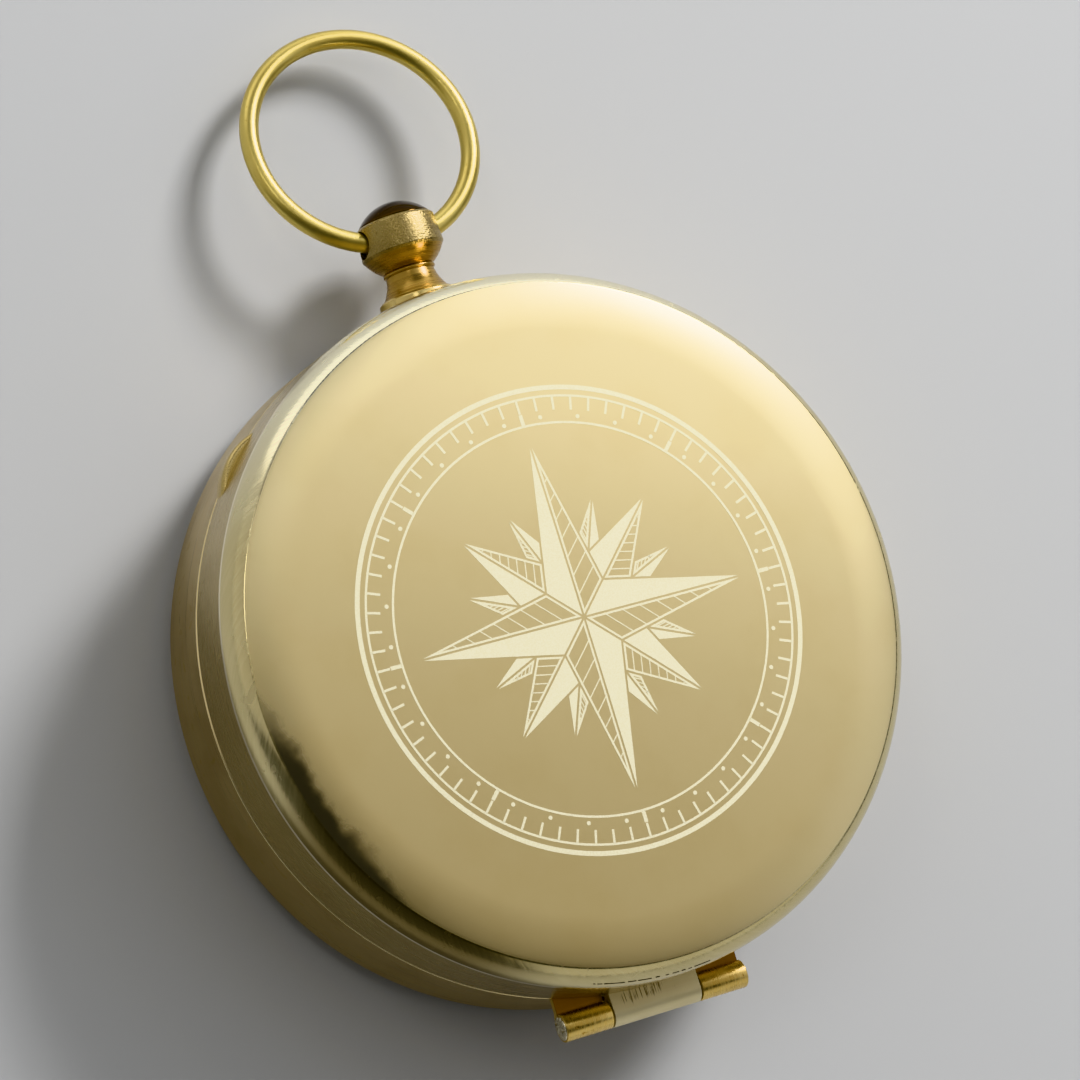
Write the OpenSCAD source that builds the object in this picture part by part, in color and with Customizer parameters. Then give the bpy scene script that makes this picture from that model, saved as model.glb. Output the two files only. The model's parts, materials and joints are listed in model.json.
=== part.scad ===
// Pocket compass: round brass case with a hinged lid, a turned pendant and a bow.
// Millimetres. Z = 0 is the flat back, +Z looks out of the lid and +Y points to the pendant.

/* [Case] */
// Outer diameter of the case and lid
case_d = 50; // [46:0.5:60]
// Height of the body from its back to the seam
body_h = 6.8; // [6.4:0.1:8]
// Thickness of the body's wall
wall_t = 1.4; // [1.2:0.1:1.6]
// Thickness of the back
back_t = 1.2; // [1:0.1:1.5]
// Rounding between the back and the wall
back_edge_r = 0.8; // [0.3:0.1:1.1]
// Broken edge on each side of the seam
edge_break = 0.12; // [0.05:0.01:0.2]
// Gap between body and lid at the seam
seam_gap = 0.05; // [0.03:0.01:0.1]

/* [Lid] */
// Thickness of the lid's wall
lid_wall_t = 1.2; // [0.9:0.1:1.3]
// Thickness of the lid's pressed face
lid_sheet_t = 0.8; // [0.5:0.1:1]
// Height of the lid's straight wall
lid_wall_h = 5.1; // [4.5:0.1:7]
// Height of the rounded shoulder
shoulder_h = 2.15; // [1.6:0.05:2.6]
// Width of the rounded shoulder, seen from above
shoulder_w = 1.1; // [0.8:0.05:1.4]
// Width of the face's border, which rolls over to the shoulder
border_w = 3.5; // [2.5:0.5:4]
// Fall of the face across its border
border_drop = 0.5; // [0.4:0.05:0.8]
// Rise of the face from its border to its middle
crown_h = 0.4; // [0.2:0.1:0.7]
// Length of the thumb lip along the rim
lip_l = 5.2; // [4:0.2:8]
// How far the thumb lip stands out of the wall
lip_out = 0.6; // [0.4:0.1:1]
// Height of the thumb lip
lip_h = 1.3; // [0.8:0.1:2]
// Bevel round the top of the thumb lip
lip_bevel = 0.25; // [0.1:0.05:0.4]
// Place of the thumb lip, anticlockwise from +X
lip_angle = 137; // [110:1:160]

/* [Hinge] */
// Outside diameter of the rolled knuckles
knuckle_d = 2; // [1.9:0.1:2.4]
// Diameter of the hinge pin
hinge_pin_d = 1.3; // [1:0.1:1.4]
// Radial play of the pin in the knuckles
hinge_play = 0.02; // [0.01:0.01:0.05]
// Length over all three knuckles
hinge_len = 14.2; // [12:0.2:18]
// Length of the lid's knuckle in the middle
mid_knuckle_len = 6.8; // [5:0.2:8]
// Gap between neighbouring knuckles
knuckle_gap = 0.1; // [0.05:0.01:0.2]
// Gap between the knuckles and the case wall
knuckle_stand = 0.1; // [0.08:0.01:0.3]
// Height of the body's leaf below the seam
body_leaf_h = 1.7; // [1.6:0.1:5]
// Height of the lid's leaf above the seam
lid_leaf_h = 1.6; // [1.4:0.1:4.4]
// Room between the middle knuckle and the body's leaf
leaf_notch_gap = 0.25; // [0.15:0.05:0.4]
// How far the pin shows at each end
pin_show = 0.1; // [0.05:0.05:0.3]

/* [Pendant] */
// Height of the pendant's axis above the middle of the body's wall
pendant_rise = 0.5; // [0:0.1:0.6]
// Diameter of the collar on the case
collar_d = 5.6; // [4.6:0.1:5.7]
// Thickness of the collar
collar_t = 1.3; // [0.5:0.1:1.6]
// Diameter of the stem's foot
foot_d = 4.9; // [4:0.1:5.6]
// Diameter of the stem's waist
waist_d = 3.5; // [3:0.1:4]
// Length of the stem from collar to waist
foot_l = 1.8; // [1.5:0.1:3]
// Length of the rounded cup from waist to drum
cup_l = 1.3; // [1:0.1:2.2]
// Hollow of the flare between collar and waist
flare_hollow = 0.15; // [0.05:0.05:0.25]
// Width of the bead at the waist
waist_bead_w = 0.3; // [0.2:0.05:0.5]
// Diameter of the drum at its lower edge
drum_d = 6; // [5:0.1:7]
// Taper of the drum's diameter towards the cap
drum_taper = 0.3; // [0.1:0.1:0.6]
// Height of the drum
drum_h = 2.5; // [2.4:0.1:4]
// Broken edge of the drum
drum_edge = 0.2; // [0.1:0.05:0.3]
// Diameter of the domed cap
cap_d = 5.2; // [4.2:0.1:5.4]
// Height of the domed cap
cap_h = 1.35; // [0.8:0.05:2]
// Thread diameter of the screw that holds the pendant
pendant_screw_d = 1.6; // [1.2:0.1:1.8]
// Head diameter of that screw
pendant_screw_head_d = 3.4; // [2.6:0.1:3.6]
// Head thickness of that screw
pendant_screw_head_t = 0.7; // [0.5:0.1:0.8]

/* [Bow] */
// Diameter of the bow through the middle of its wire
bow_d = 16.4; // [14:0.2:22]
// Diameter of the bow's wire
bow_wire_d = 1.4; // [1.1:0.1:1.5]
// Play of the wire in the drum's cross hole
bow_play = 0.04; // [0.02:0.01:0.08]
// How far the leaning bow stays above the plane of the back
bow_lift = 0.3; // [0.2:0.1:1]

/* [Glass] */
// How far the sleeve rises above the seam
sleeve_rise = 2; // [1.9:0.1:2.6]
// Thickness of the sleeve beside the glass
sleeve_t = 0.75; // [0.6:0.05:1]
// Radial fit of the sleeve in the case
sleeve_play = 0.05; // [0.02:0.01:0.08]
// Width of the ledge under the glass
ledge_w = 1; // [0.7:0.1:1.5]
// Depth of the glass below the seam
glass_drop = 0.2; // [0:0.1:0.4]
// Thickness of the glass
glass_t = 1; // [0.7:0.1:1.1]
// Radial play of the glass
glass_play = 0.1; // [0.05:0.05:0.15]
// Wire diameter of the spring ring over the glass
spring_wire_d = 0.66; // [0.5:0.02:0.8]
// Opening of the spring ring, in degrees
spring_gap_angle = 14; // [6:1:30]

/* [Dial] */
// Thickness of the dial plate
dial_t = 0.8; // [0.5:0.1:1]
// Radial play of the loose rings and plates
ring_play = 0.1; // [0.05:0.05:0.2]
// Width of the degree ring
degree_ring_w = 2.1; // [1.6:0.1:3]
// Height of the degree ring's outer edge
degree_ring_h = 1.2; // [0.8:0.1:1.6]
// Height of the degree ring's inner edge
degree_ring_lip = 0.5; // [0.3:0.1:0.7]
// Number of dial screws
dial_screw_count = 3; // [2:1:4]
// Distance of the screws from the degree ring
dial_screw_inset = 3; // [2:0.5:6]
// Head diameter of the dial screws
dial_screw_head_d = 1.8; // [1.2:0.1:2.2]
// Head thickness of the dial screws
dial_screw_head_t = 0.45; // [0.3:0.05:0.6]
// Thread diameter of the dial screws
dial_screw_d = 0.9; // [0.6:0.1:1]

/* [Needle] */
// Gap between the needle's tip and the degree ring
needle_tip_gap = 1.6; // [0.8:0.1:4]
// Width of the needle's arms where they would meet
needle_w = 4; // [3.4:0.2:5]
// Width of the needle's round boss round its cap
needle_boss_w = 1.3; // [1:0.1:1.6]
// Thickness of the needle
needle_t = 0.3; // [0.2:0.05:0.4]
// Gap between the needle's cap and the glass
cap_gap = 0.9; // [0.6:0.1:1.3]
// Diameter of the needle's cap
hub_d = 2.9; // [2.4:0.1:3.4]
// Height of the cap above the needle
hub_rise = 1.2; // [1.1:0.1:1.4]
// Width of the cap's flange under the needle
hub_flange_w = 0.5; // [0.3:0.1:0.8]
// Thickness of the cap's flange
hub_flange_t = 0.25; // [0.2:0.05:0.4]
// Diameter of the jewel
jewel_d = 1.7; // [1.4:0.1:1.9]
// Height of the jewel
jewel_h = 0.75; // [0.6:0.05:0.8]
// Depth of the jewel's cone
jewel_cone_h = 0.45; // [0.3:0.05:0.5]
// Play between the pivot's tip and the jewel
tip_play = 0.04; // [0.02:0.01:0.06]
// Diameter of the pivot pin
pivot_pin_d = 0.5; // [0.4:0.05:0.6]
// Length of the pivot pin's point
pivot_point_h = 0.7; // [0.5:0.1:1]
// Diameter of the post that holds the pivot pin
post_d = 1.2; // [1:0.1:1.3]
// Diameter of the post's foot
post_foot_d = 4; // [3:0.2:6]
// Thickness of the post's foot
post_foot_t = 0.4; // [0.3:0.1:0.6]
// Gap between the post's top and the needle's cap
post_gap = 0.65; // [0.4:0.05:1]
// Distance of the balance weight from the pivot
weight_reach = 8; // [6:0.5:12]
// Length of the balance weight along the needle
weight_l = 1.4; // [1:0.1:2]
// Wall of the balance weight
weight_wall = 0.3; // [0.2:0.05:0.4]

/* [Hidden] */
$fn = 96;

// Overrun of every cut
over = 0.4;
// Facets of the wide, shallow arcs of the lid's face
crown_facets = 900;
// Facets of the case's wall where other pieces seat on it
seat_facets = 720;
// Fit of fixed pins and screws in their holes
fixed_play = 0.02;
// How much wider the jewel's cone opens than the pivot's point
jewel_cone_share = 3;
// Room between the pendant's screw and the pocket in the sleeve
head_room = 0.1;
// Room between a blind hole's end and the tip in it
tip_room = 0.2;
// Metal left between the screw's hole and the bow's cross hole
cross_land = 0.4;

// Case and seam
case_r = case_d / 2;
bore_r = case_r - wall_t;
lid_z = body_h + seam_gap;

// Lid
wall_top_z = lid_z + lid_wall_h;
shoulder_r = (shoulder_w * shoulder_w + shoulder_h * shoulder_h) / (2 * shoulder_w);
face_edge_r = case_r - shoulder_w;
face_edge_z = wall_top_z + shoulder_h;
border_in_r = face_edge_r - border_w;
border_in_z = face_edge_z + border_drop;
face_top_z = border_in_z + crown_h;
crown_r = (border_in_r * border_in_r + crown_h * crown_h) / (2 * crown_h);
// Border: an arc that leaves the crown without a break, at the crown's slope there
crown_tilt = asin(border_in_r / crown_r);
border_r = sqrt(border_w * border_w + border_drop * border_drop)
           / (2 * sin(atan(border_drop / border_w) - crown_tilt));
lip_sag = case_r + lip_out - sqrt(case_r * case_r - lip_l * lip_l / 4);
lip_r = (lip_sag * lip_sag + lip_l * lip_l / 4) / (2 * lip_sag);

// Hinge: the knuckles' axis runs along X at the height of the seam
knuckle_r = knuckle_d / 2;
hinge_bore_r = hinge_pin_d / 2 + hinge_play;
leaf_t = knuckle_r - hinge_bore_r;
leaf_depth = leaf_t + knuckle_stand + case_r - sqrt(case_r * case_r - hinge_len * hinge_len / 4) + over;
hinge_y = -(case_r + knuckle_stand + knuckle_r);
leaf_y = hinge_y + knuckle_r - leaf_t;
hinge_z = body_h;
end_knuckle_len = (hinge_len - mid_knuckle_len) / 2 - knuckle_gap;

// Pendant: turned about an axis along Y, with y values from the centre of the case
pendant_z = body_h / 2 + pendant_rise;
collar_y = case_r + collar_t;
waist_y = collar_y + foot_l;
drum_y = waist_y + cup_l;
drum_top_y = drum_y + drum_h;
drum_end_r = (drum_d - drum_taper) / 2;
cross_y = drum_y + drum_h / 2;

// Cup: an arc about a centre on the axis, from the waist to the drum
waist_r = waist_d / 2;
cup_rise = (drum_end_r * drum_end_r - waist_r * waist_r + cup_l * cup_l) / (2 * cup_l);
cup_r = sqrt(waist_r * waist_r + cup_rise * cup_rise);

// Flare: a hollow arc over the straight line from collar to waist
foot_r = foot_d / 2;
flare_chord = sqrt(foot_l * foot_l + (foot_r - waist_r) * (foot_r - waist_r));
flare_r = (flare_chord * flare_chord / 4 + flare_hollow * flare_hollow) / (2 * flare_hollow);
flare_off = (flare_r - flare_hollow) / flare_chord;

// Bow: the wire's arc bends by its sagitta inside the drum, half to each side of the hole's axis
bow_r = bow_d / 2;
wire_r = bow_wire_d / 2;
bow_sag = bow_r - sqrt(bow_r * bow_r - drum_d * drum_d / 4);
cross_hole_r = wire_r + bow_sag / 2 + bow_play;
bow_offset = bow_r - bow_sag / 2;
bow_lean = asin((pendant_z - wire_r - bow_lift) / (bow_offset + bow_r));

// Screw of the pendant, its head's rim against the round inside of the case wall
screw_head_r = pendant_screw_head_d / 2;
screw_seat_y = sqrt(bore_r * bore_r - screw_head_r * screw_head_r) - fixed_play;
screw_head_y = screw_seat_y - pendant_screw_head_t;
screw_hole_y = cross_y - cross_hole_r - cross_land;

// Sleeve, glass and spring ring
dial_z = back_t;
dial_top_z = dial_z + dial_t;
sleeve_r = bore_r - sleeve_play;
sleeve_top_z = body_h + sleeve_rise;
glass_bore_r = sleeve_r - sleeve_t;
glass_r = glass_bore_r - glass_play;
ledge_r = glass_bore_r - ledge_w;
glass_z = body_h - glass_drop;
glass_top_z = glass_z + glass_t;
spring_r = spring_wire_d / 2;
spring_z = glass_top_z + spring_r;

// Dial, its plate short enough to clear the pendant's screw
dial_r = screw_head_y - ring_play;
degree_r = ledge_r - ring_play;
degree_in_r = degree_r - degree_ring_w;
dial_screw_r = degree_in_r - dial_screw_inset;
screw_depth = back_t * 2 / 3;

// Needle assembly, from the glass downwards
hub_r = hub_d / 2;
needle_top_z = glass_z - cap_gap - hub_rise;
needle_z = needle_top_z - needle_t;
hub_foot_z = needle_z - hub_flange_t;
needle_r = degree_in_r - needle_tip_gap;
jewel_r = jewel_d / 2;
jewel_z = needle_top_z + hub_rise / 4;
tip_z = jewel_z + jewel_cone_h - tip_play;
pin_r = pivot_pin_d / 2;
jewel_cone_slope = pin_r / pivot_point_h * jewel_cone_share;
post_top_z = hub_foot_z - post_gap;
pin_seat_z = dial_top_z + post_foot_t;
weight_w = needle_w * (1 - (weight_reach - weight_l / 2) / needle_r);

// Turns a section about the Z axis.
module spun() {
    rotate_extrude() children();
}

// Turns a section whose second value is y about the pendant's axis.
module turned_on_y() {
    translate([0, 0, pendant_z]) rotate([-90, 0, 0]) rotate_extrude() children();
}

// Runs a section of y and z values along X, on both sides of the place x.
module along_x(x, len) {
    translate([x, 0, 0]) rotate([90, 0, 90]) linear_extrude(height = len, center = true) children();
}

// A plain cylinder along X through the hinge axis.
module hinge_rod(r, x, len) {
    along_x(x, len) translate([hinge_y, hinge_z]) circle(r);
}

// The case's outside as one plain cylinder, for cutting what seats on its wall.
module case_blank() {
    translate([0, 0, -over]) cylinder(r = case_r, h = face_top_z + over * 2, $fn = seat_facets);
}

// A small triangle that breaks a section's corner, pointing down or up.
module broken_corner(r, z, up) {
    polygon([[r + over, z - up * over], [r + over, z + up * (edge_break + over)],
             [r - edge_break - over, z - up * over]]);
}

// Repeats a dial screw's cut or body round the dial.
module at_dial_screws() {
    for (i = [0 : dial_screw_count - 1])
        rotate([0, 0, 90 + (i + 0.5) * 360 / dial_screw_count])
            translate([dial_screw_r, 0, 0]) children();
}

// Turned cup with a rounded back edge, the pendant's hole and blind holes for post and screws
module case_body() {
    color([0.55, 0.46, 0.26]) difference() {
        spun() difference() {
            union() {
                square([case_r - back_edge_r, body_h]);
                translate([0, back_edge_r]) square([case_r, body_h - back_edge_r]);
                translate([case_r - back_edge_r, back_edge_r]) circle(back_edge_r);
            }
            translate([0, back_t]) square([bore_r, body_h]);
            broken_corner(case_r, body_h, 1);
        }
        translate([0, 0, pendant_z]) rotate([-90, 0, 0])
            cylinder(r = pendant_screw_d / 2 + fixed_play, h = case_r + over);
        translate([0, 0, back_t - screw_depth])
            cylinder(r = post_d / 2 + fixed_play, h = screw_depth + over);
        at_dial_screws() translate([0, 0, back_t - screw_depth])
            cylinder(r = dial_screw_d / 2 + fixed_play, h = screw_depth + over);
    }
}

// Pressed-in sleeve: spacer under the glass, pocket round it and spigot for the lid
module case_sleeve() {
    color([0.72, 0.6, 0.34]) difference() {
        spun() difference() {
            translate([ledge_r, dial_top_z])
                square([sleeve_r - ledge_r, sleeve_top_z - dial_top_z]);
            translate([ledge_r - over, glass_z])
                square([glass_bore_r - ledge_r + over, sleeve_top_z - glass_z + over]);
            translate([glass_bore_r, spring_z]) circle(spring_r + fixed_play);
            broken_corner(sleeve_r, sleeve_top_z, 1);
        }
        translate([-screw_head_r - head_room, screw_head_y - head_room, dial_top_z - over])
            cube([pendant_screw_head_d + head_room * 2, sleeve_r,
                  pendant_z + screw_head_r + head_room - dial_top_z + over]);
    }
}

// Flat glass on the sleeve's ledge
module glass() {
    color([0.8, 0.9, 0.92, 0.4]) translate([0, 0, glass_z]) cylinder(r = glass_r, h = glass_t);
}

// Split wire ring that sits in the sleeve's groove and holds the glass down
module glass_spring_ring() {
    color([0.75, 0.62, 0.35]) rotate([0, 0, -90 + spring_gap_angle / 2])
        rotate_extrude(angle = 360 - spring_gap_angle)
            translate([glass_bore_r, spring_z]) circle(spring_r);
}

// Dial plate on the floor of the case
module dial_plate() {
    color([0.86, 0.85, 0.8]) difference() {
        translate([0, 0, dial_z]) cylinder(r = dial_r, h = dial_t);
        translate([0, 0, dial_z - over]) cylinder(r = post_d / 2 + fixed_play, h = dial_t + over * 2);
        at_dial_screws() translate([0, 0, dial_z - over])
            cylinder(r = dial_screw_d / 2 + fixed_play, h = dial_t + over * 2);
    }
}

// Sloping ring that carries the degree marks
module degree_ring() {
    color([0.7, 0.58, 0.3]) translate([0, 0, dial_top_z]) spun()
        polygon([[degree_in_r, 0], [degree_r, 0], [degree_r, degree_ring_h],
                 [degree_r - degree_ring_w / 3, degree_ring_h], [degree_in_r, degree_ring_lip]]);
}

// Slotted cheese-head screws that hold the dial
module dial_screws() {
    color([0.78, 0.68, 0.42]) at_dial_screws() difference() {
        union() {
            translate([0, 0, back_t - screw_depth])
                cylinder(r = dial_screw_d / 2, h = screw_depth + dial_t + dial_screw_head_t / 2);
            translate([0, 0, dial_top_z]) cylinder(r = dial_screw_head_d / 2, h = dial_screw_head_t);
        }
        translate([-dial_screw_head_d, -dial_screw_head_t / 4, dial_top_z + dial_screw_head_t / 2])
            cube([dial_screw_head_d * 2, dial_screw_head_t / 2, dial_screw_head_t]);
    }
}

// Turned post on the dial, its shank set in the back
module pivot_post() {
    color([0.8, 0.66, 0.36]) difference() {
        union() {
            translate([0, 0, back_t - screw_depth])
                cylinder(r = post_d / 2, h = post_top_z - back_t + screw_depth);
            translate([0, 0, dial_top_z])
                cylinder(r1 = post_foot_d / 2, r2 = post_foot_d / 2 - post_foot_t, h = post_foot_t);
        }
        translate([0, 0, pin_seat_z]) cylinder(r = pin_r + fixed_play, h = post_top_z);
    }
}

// Hardened steel pin with a conical point
module pivot_pin() {
    color([0.6, 0.62, 0.65]) {
        translate([0, 0, pin_seat_z])
            cylinder(r = pin_r, h = tip_z - pivot_point_h - pin_seat_z);
        translate([0, 0, tip_z - pivot_point_h])
            cylinder(r1 = pin_r, r2 = 0, h = pivot_point_h);
    }
}

// Lozenge needle with a wider round boss at its middle
module needle() {
    color([0.25, 0.3, 0.45]) difference() {
        union() {
            translate([0, 0, needle_z]) linear_extrude(height = needle_t)
                polygon([[0, needle_r], [needle_w / 2, 0], [0, -needle_r], [-needle_w / 2, 0]]);
            translate([0, 0, needle_z]) cylinder(r = hub_r + needle_boss_w, h = needle_t);
        }
        translate([0, 0, needle_z - over]) cylinder(r = hub_r + fixed_play, h = needle_t + over * 2);
    }
}

// Turned brass cap, hollow below, with a flange under the needle
module needle_cap() {
    color([0.82, 0.68, 0.36]) difference() {
        union() {
            translate([0, 0, hub_foot_z]) cylinder(r = hub_r + hub_flange_w, h = hub_flange_t);
            translate([0, 0, needle_z]) cylinder(r = hub_r, h = needle_t + hub_rise / 2);
            translate([0, 0, needle_top_z + hub_rise / 2])
                cylinder(r1 = hub_r, r2 = hub_r * 2 / 3, h = hub_rise / 2);
        }
        translate([0, 0, hub_foot_z - over])
            cylinder(r = jewel_r + fixed_play, h = jewel_z + jewel_h - hub_foot_z + over);
    }
}

// Jewel with a conical cup that rides on the pivot's point
module needle_jewel() {
    color([0.65, 0.15, 0.2]) difference() {
        translate([0, 0, jewel_z]) cylinder(r = jewel_r, h = jewel_h);
        translate([0, 0, jewel_z - over])
            cylinder(r1 = (jewel_cone_h + over) * jewel_cone_slope, r2 = 0, h = jewel_cone_h + over);
    }
}

// Folded clip on the needle's south arm that levels the needle
module balance_weight() {
    color([0.8, 0.66, 0.36]) translate([0, -weight_reach, needle_z + needle_t / 2]) difference() {
        cube([weight_w + weight_wall * 2, weight_l, needle_t + weight_wall * 2], center = true);
        cube([weight_w + fixed_play * 2, weight_l + over, needle_t + fixed_play], center = true);
    }
}

// Filled section under the face: the crown, then the border that rolls over
module face_section(face) {
    join_r = border_in_r - face * sin(crown_tilt);
    intersection() {
        square([join_r, face_top_z]);
        translate([0, face_top_z - crown_r]) circle(crown_r - face, $fn = crown_facets);
    }
    intersection() {
        translate([join_r, 0]) square([case_r - join_r + over, face_top_z]);
        translate([border_in_r - border_r * sin(crown_tilt),
                   border_in_z - border_r * cos(crown_tilt)])
            circle(border_r - face, $fn = crown_facets);
    }
}

// Filled section of the lid, set in from the outside by the wall and the sheet
module lid_section(side, face) {
    intersection() {
        union() {
            translate([0, lid_z - over]) square([case_r - side, lid_wall_h + over]);
            translate([0, lid_z]) square([case_r - shoulder_r, face_top_z - lid_z]);
            translate([case_r - shoulder_r, wall_top_z]) circle(shoulder_r - side);
        }
        face_section(face);
    }
}

// Small tab on the rim, an arc that fades into the wall at both ends
module thumb_lip() {
    rotate([0, 0, lip_angle]) translate([case_r + lip_out - lip_r, 0, lid_z]) {
        cylinder(r = lip_r, h = lip_h - lip_bevel);
        translate([0, 0, lip_h - lip_bevel])
            cylinder(r1 = lip_r, r2 = lip_r - lip_bevel, h = lip_bevel);
    }
}

// Pressed lid: straight wall, rounded shoulder, crisp edge and a crowned face with a rolled border
module lid() {
    color([0.78, 0.69, 0.45]) {
        spun() difference() {
            lid_section(0, 0);
            lid_section(lid_wall_t, lid_sheet_t);
            square([case_r + over, lid_z]);
            broken_corner(case_r, lid_z, -1);
        }
        difference() {
            thumb_lip();
            translate([0, 0, lid_z - over])
                cylinder(r = case_r - lid_wall_t / 2, h = lip_h + over * 2);
        }
    }
}

// Middle knuckle, rolled from a leaf that seats on the lid's wall
module lid_hinge_leaf() {
    color([0.76, 0.68, 0.46]) difference() {
        union() {
            hinge_rod(knuckle_r, 0, mid_knuckle_len);
            along_x(0, mid_knuckle_len) translate([leaf_y, hinge_z])
                square([leaf_t, lid_z - hinge_z + lid_leaf_h]);
            along_x(0, mid_knuckle_len) translate([leaf_y, lid_z])
                square([leaf_depth, lid_leaf_h]);
        }
        hinge_rod(hinge_bore_r, 0, mid_knuckle_len + over);
        case_blank();
    }
}

// Two end knuckles on one leaf that seats on the body's wall
module body_hinge_leaf() {
    color([0.72, 0.55, 0.2]) difference() {
        union() {
            for (side = [-1, 1])
                hinge_rod(knuckle_r, side * (hinge_len - end_knuckle_len) / 2, end_knuckle_len);
            along_x(0, hinge_len) translate([leaf_y, hinge_z - body_leaf_h])
                square([leaf_depth, body_leaf_h]);
        }
        hinge_rod(hinge_bore_r, 0, hinge_len + over);
        hinge_rod(knuckle_r + leaf_notch_gap, 0, mid_knuckle_len + knuckle_gap * 2);
        along_x(0, mid_knuckle_len + knuckle_gap * 2)
            translate([hinge_y, hinge_z - knuckle_r - leaf_notch_gap])
                square([knuckle_r + leaf_depth + over, knuckle_d]);
        case_blank();
    }
}

// Hinge pin, riveted at both ends
module hinge_pin() {
    color([0.75, 0.68, 0.5]) hinge_rod(hinge_pin_d / 2, 0, hinge_len + pin_show * 2);
}

// Collar between the stem and the case, hollowed to the case's wall
module pendant_collar() {
    color([0.7, 0.55, 0.25]) difference() {
        turned_on_y() polygon([[0, case_r - collar_t], [collar_d / 2, case_r - collar_t],
                               [collar_d / 2, collar_y - drum_edge],
                               [collar_d / 2 - drum_edge, collar_y], [0, collar_y]]);
        case_blank();
        turned_on_y() square([pendant_screw_d / 2 + fixed_play, collar_y + over]);
    }
}

// Turned stem: hollow flare, beaded waist, rounded cup and drum with the bow's cross hole
module pendant() {
    color([0.74, 0.58, 0.28]) difference() {
        turned_on_y() union() {
            difference() {
                polygon([[0, collar_y], [foot_r, collar_y], [waist_r, waist_y], [0, waist_y]]);
                translate([(foot_r + waist_r) / 2 + foot_l * flare_off,
                           (collar_y + waist_y) / 2 + (foot_r - waist_r) * flare_off])
                    circle(flare_r);
            }
            intersection() {
                translate([0, waist_y]) square([cup_r, cup_l]);
                translate([0, waist_y + cup_rise]) circle(cup_r);
            }
            polygon([[0, drum_y], [drum_end_r, drum_y], [drum_d / 2, drum_y + drum_edge],
                     [drum_end_r, drum_top_y - drum_edge], [drum_end_r - drum_edge, drum_top_y],
                     [0, drum_top_y]]);
            translate([waist_r, waist_y]) circle(waist_bead_w / 2);
        }
        turned_on_y() square([pendant_screw_d / 2 + fixed_play, screw_hole_y]);
        translate([0, cross_y, pendant_z]) rotate([0, 90, 0])
            cylinder(r = cross_hole_r, h = drum_d + over, center = true);
    }
}

// Domed cap on the drum
module pendant_cap() {
    cap_r = cap_d / 2;
    dome_r = (cap_r * cap_r + cap_h * cap_h) / (2 * cap_h);
    color([0.35, 0.26, 0.14]) turned_on_y() intersection() {
        translate([0, drum_top_y]) square([cap_r, cap_h]);
        translate([0, drum_top_y + cap_h - dome_r]) circle(dome_r);
    }
}

// Screw through the case wall into the stem, slotted head inside
module pendant_screw() {
    color([0.7, 0.6, 0.35]) difference() {
        turned_on_y() union() {
            translate([0, screw_head_y]) square([screw_head_r, pendant_screw_head_t]);
            translate([0, screw_head_y])
                square([pendant_screw_d / 2, screw_hole_y - tip_room - screw_head_y]);
        }
        translate([-pendant_screw_head_d, screw_head_y - pendant_screw_head_t * 2 / 3,
                   pendant_z - pendant_screw_head_t / 4])
            cube([pendant_screw_head_d * 2, pendant_screw_head_t, pendant_screw_head_t / 2]);
    }
}

// Closed wire ring, leaning back from the drum until it is just above the plane of the back
module bow_ring() {
    color([0.83, 0.66, 0.22]) translate([0, cross_y, pendant_z]) rotate([-bow_lean, 0, 0])
        translate([0, bow_offset, 0]) rotate_extrude() translate([bow_r, 0]) circle(wire_r);
}

case_body();
case_sleeve();
glass();
glass_spring_ring();
dial_plate();
degree_ring();
dial_screws();
pivot_post();
pivot_pin();
needle();
needle_cap();
needle_jewel();
balance_weight();
lid();
lid_hinge_leaf();
body_hinge_leaf();
hinge_pin();
pendant_collar();
pendant();
pendant_cap();
pendant_screw();
bow_ring();
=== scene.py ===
"""Dresses a brass pocket compass: turned case, engraved lid, rolled hinge, pendant and dial.

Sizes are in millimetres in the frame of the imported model: Z = 0 is the flat back, +Z looks
out of the lid, +Y points to the pendant. Every mesh is scaled to metres when it is finished.
"""

import json
import logging
import math
from collections.abc import Callable
from dataclasses import dataclass
from enum import Enum

import bmesh
import bpy
from mathutils import Matrix, Vector, noise

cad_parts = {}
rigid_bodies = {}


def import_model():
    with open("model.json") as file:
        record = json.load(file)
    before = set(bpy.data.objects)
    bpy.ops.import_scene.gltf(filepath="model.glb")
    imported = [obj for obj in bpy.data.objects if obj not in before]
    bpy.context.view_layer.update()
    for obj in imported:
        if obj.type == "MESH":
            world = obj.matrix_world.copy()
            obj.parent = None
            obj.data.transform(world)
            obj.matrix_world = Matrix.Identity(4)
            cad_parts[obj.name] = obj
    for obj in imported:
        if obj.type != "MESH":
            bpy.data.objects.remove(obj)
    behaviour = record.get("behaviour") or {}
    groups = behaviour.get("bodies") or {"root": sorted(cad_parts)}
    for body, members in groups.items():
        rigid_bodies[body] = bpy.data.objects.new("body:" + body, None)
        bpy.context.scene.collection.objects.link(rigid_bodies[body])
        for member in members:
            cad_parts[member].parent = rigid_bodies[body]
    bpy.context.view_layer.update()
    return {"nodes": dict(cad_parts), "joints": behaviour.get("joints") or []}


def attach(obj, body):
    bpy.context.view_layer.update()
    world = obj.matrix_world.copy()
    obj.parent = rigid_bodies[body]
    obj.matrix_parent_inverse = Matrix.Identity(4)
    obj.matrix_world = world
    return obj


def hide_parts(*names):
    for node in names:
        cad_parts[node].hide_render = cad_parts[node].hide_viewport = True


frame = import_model()

LOG = logging.getLogger("compass")
MM = 0.001
TURN_STEPS = 288
MERGE = 1e-4
SHARP_ANGLE = 50.0
# How many times longer than wide a tool mark is.
MARK_STRETCH = 70.0
# Noise levels between which a mark, a dark streak and a speckle come up.
MARK_LEVELS = (0.3, 0.7)
STREAK_LEVELS = (0.38, 0.66)
SPECKLE_LEVELS = (0.35, 0.7)
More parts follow.
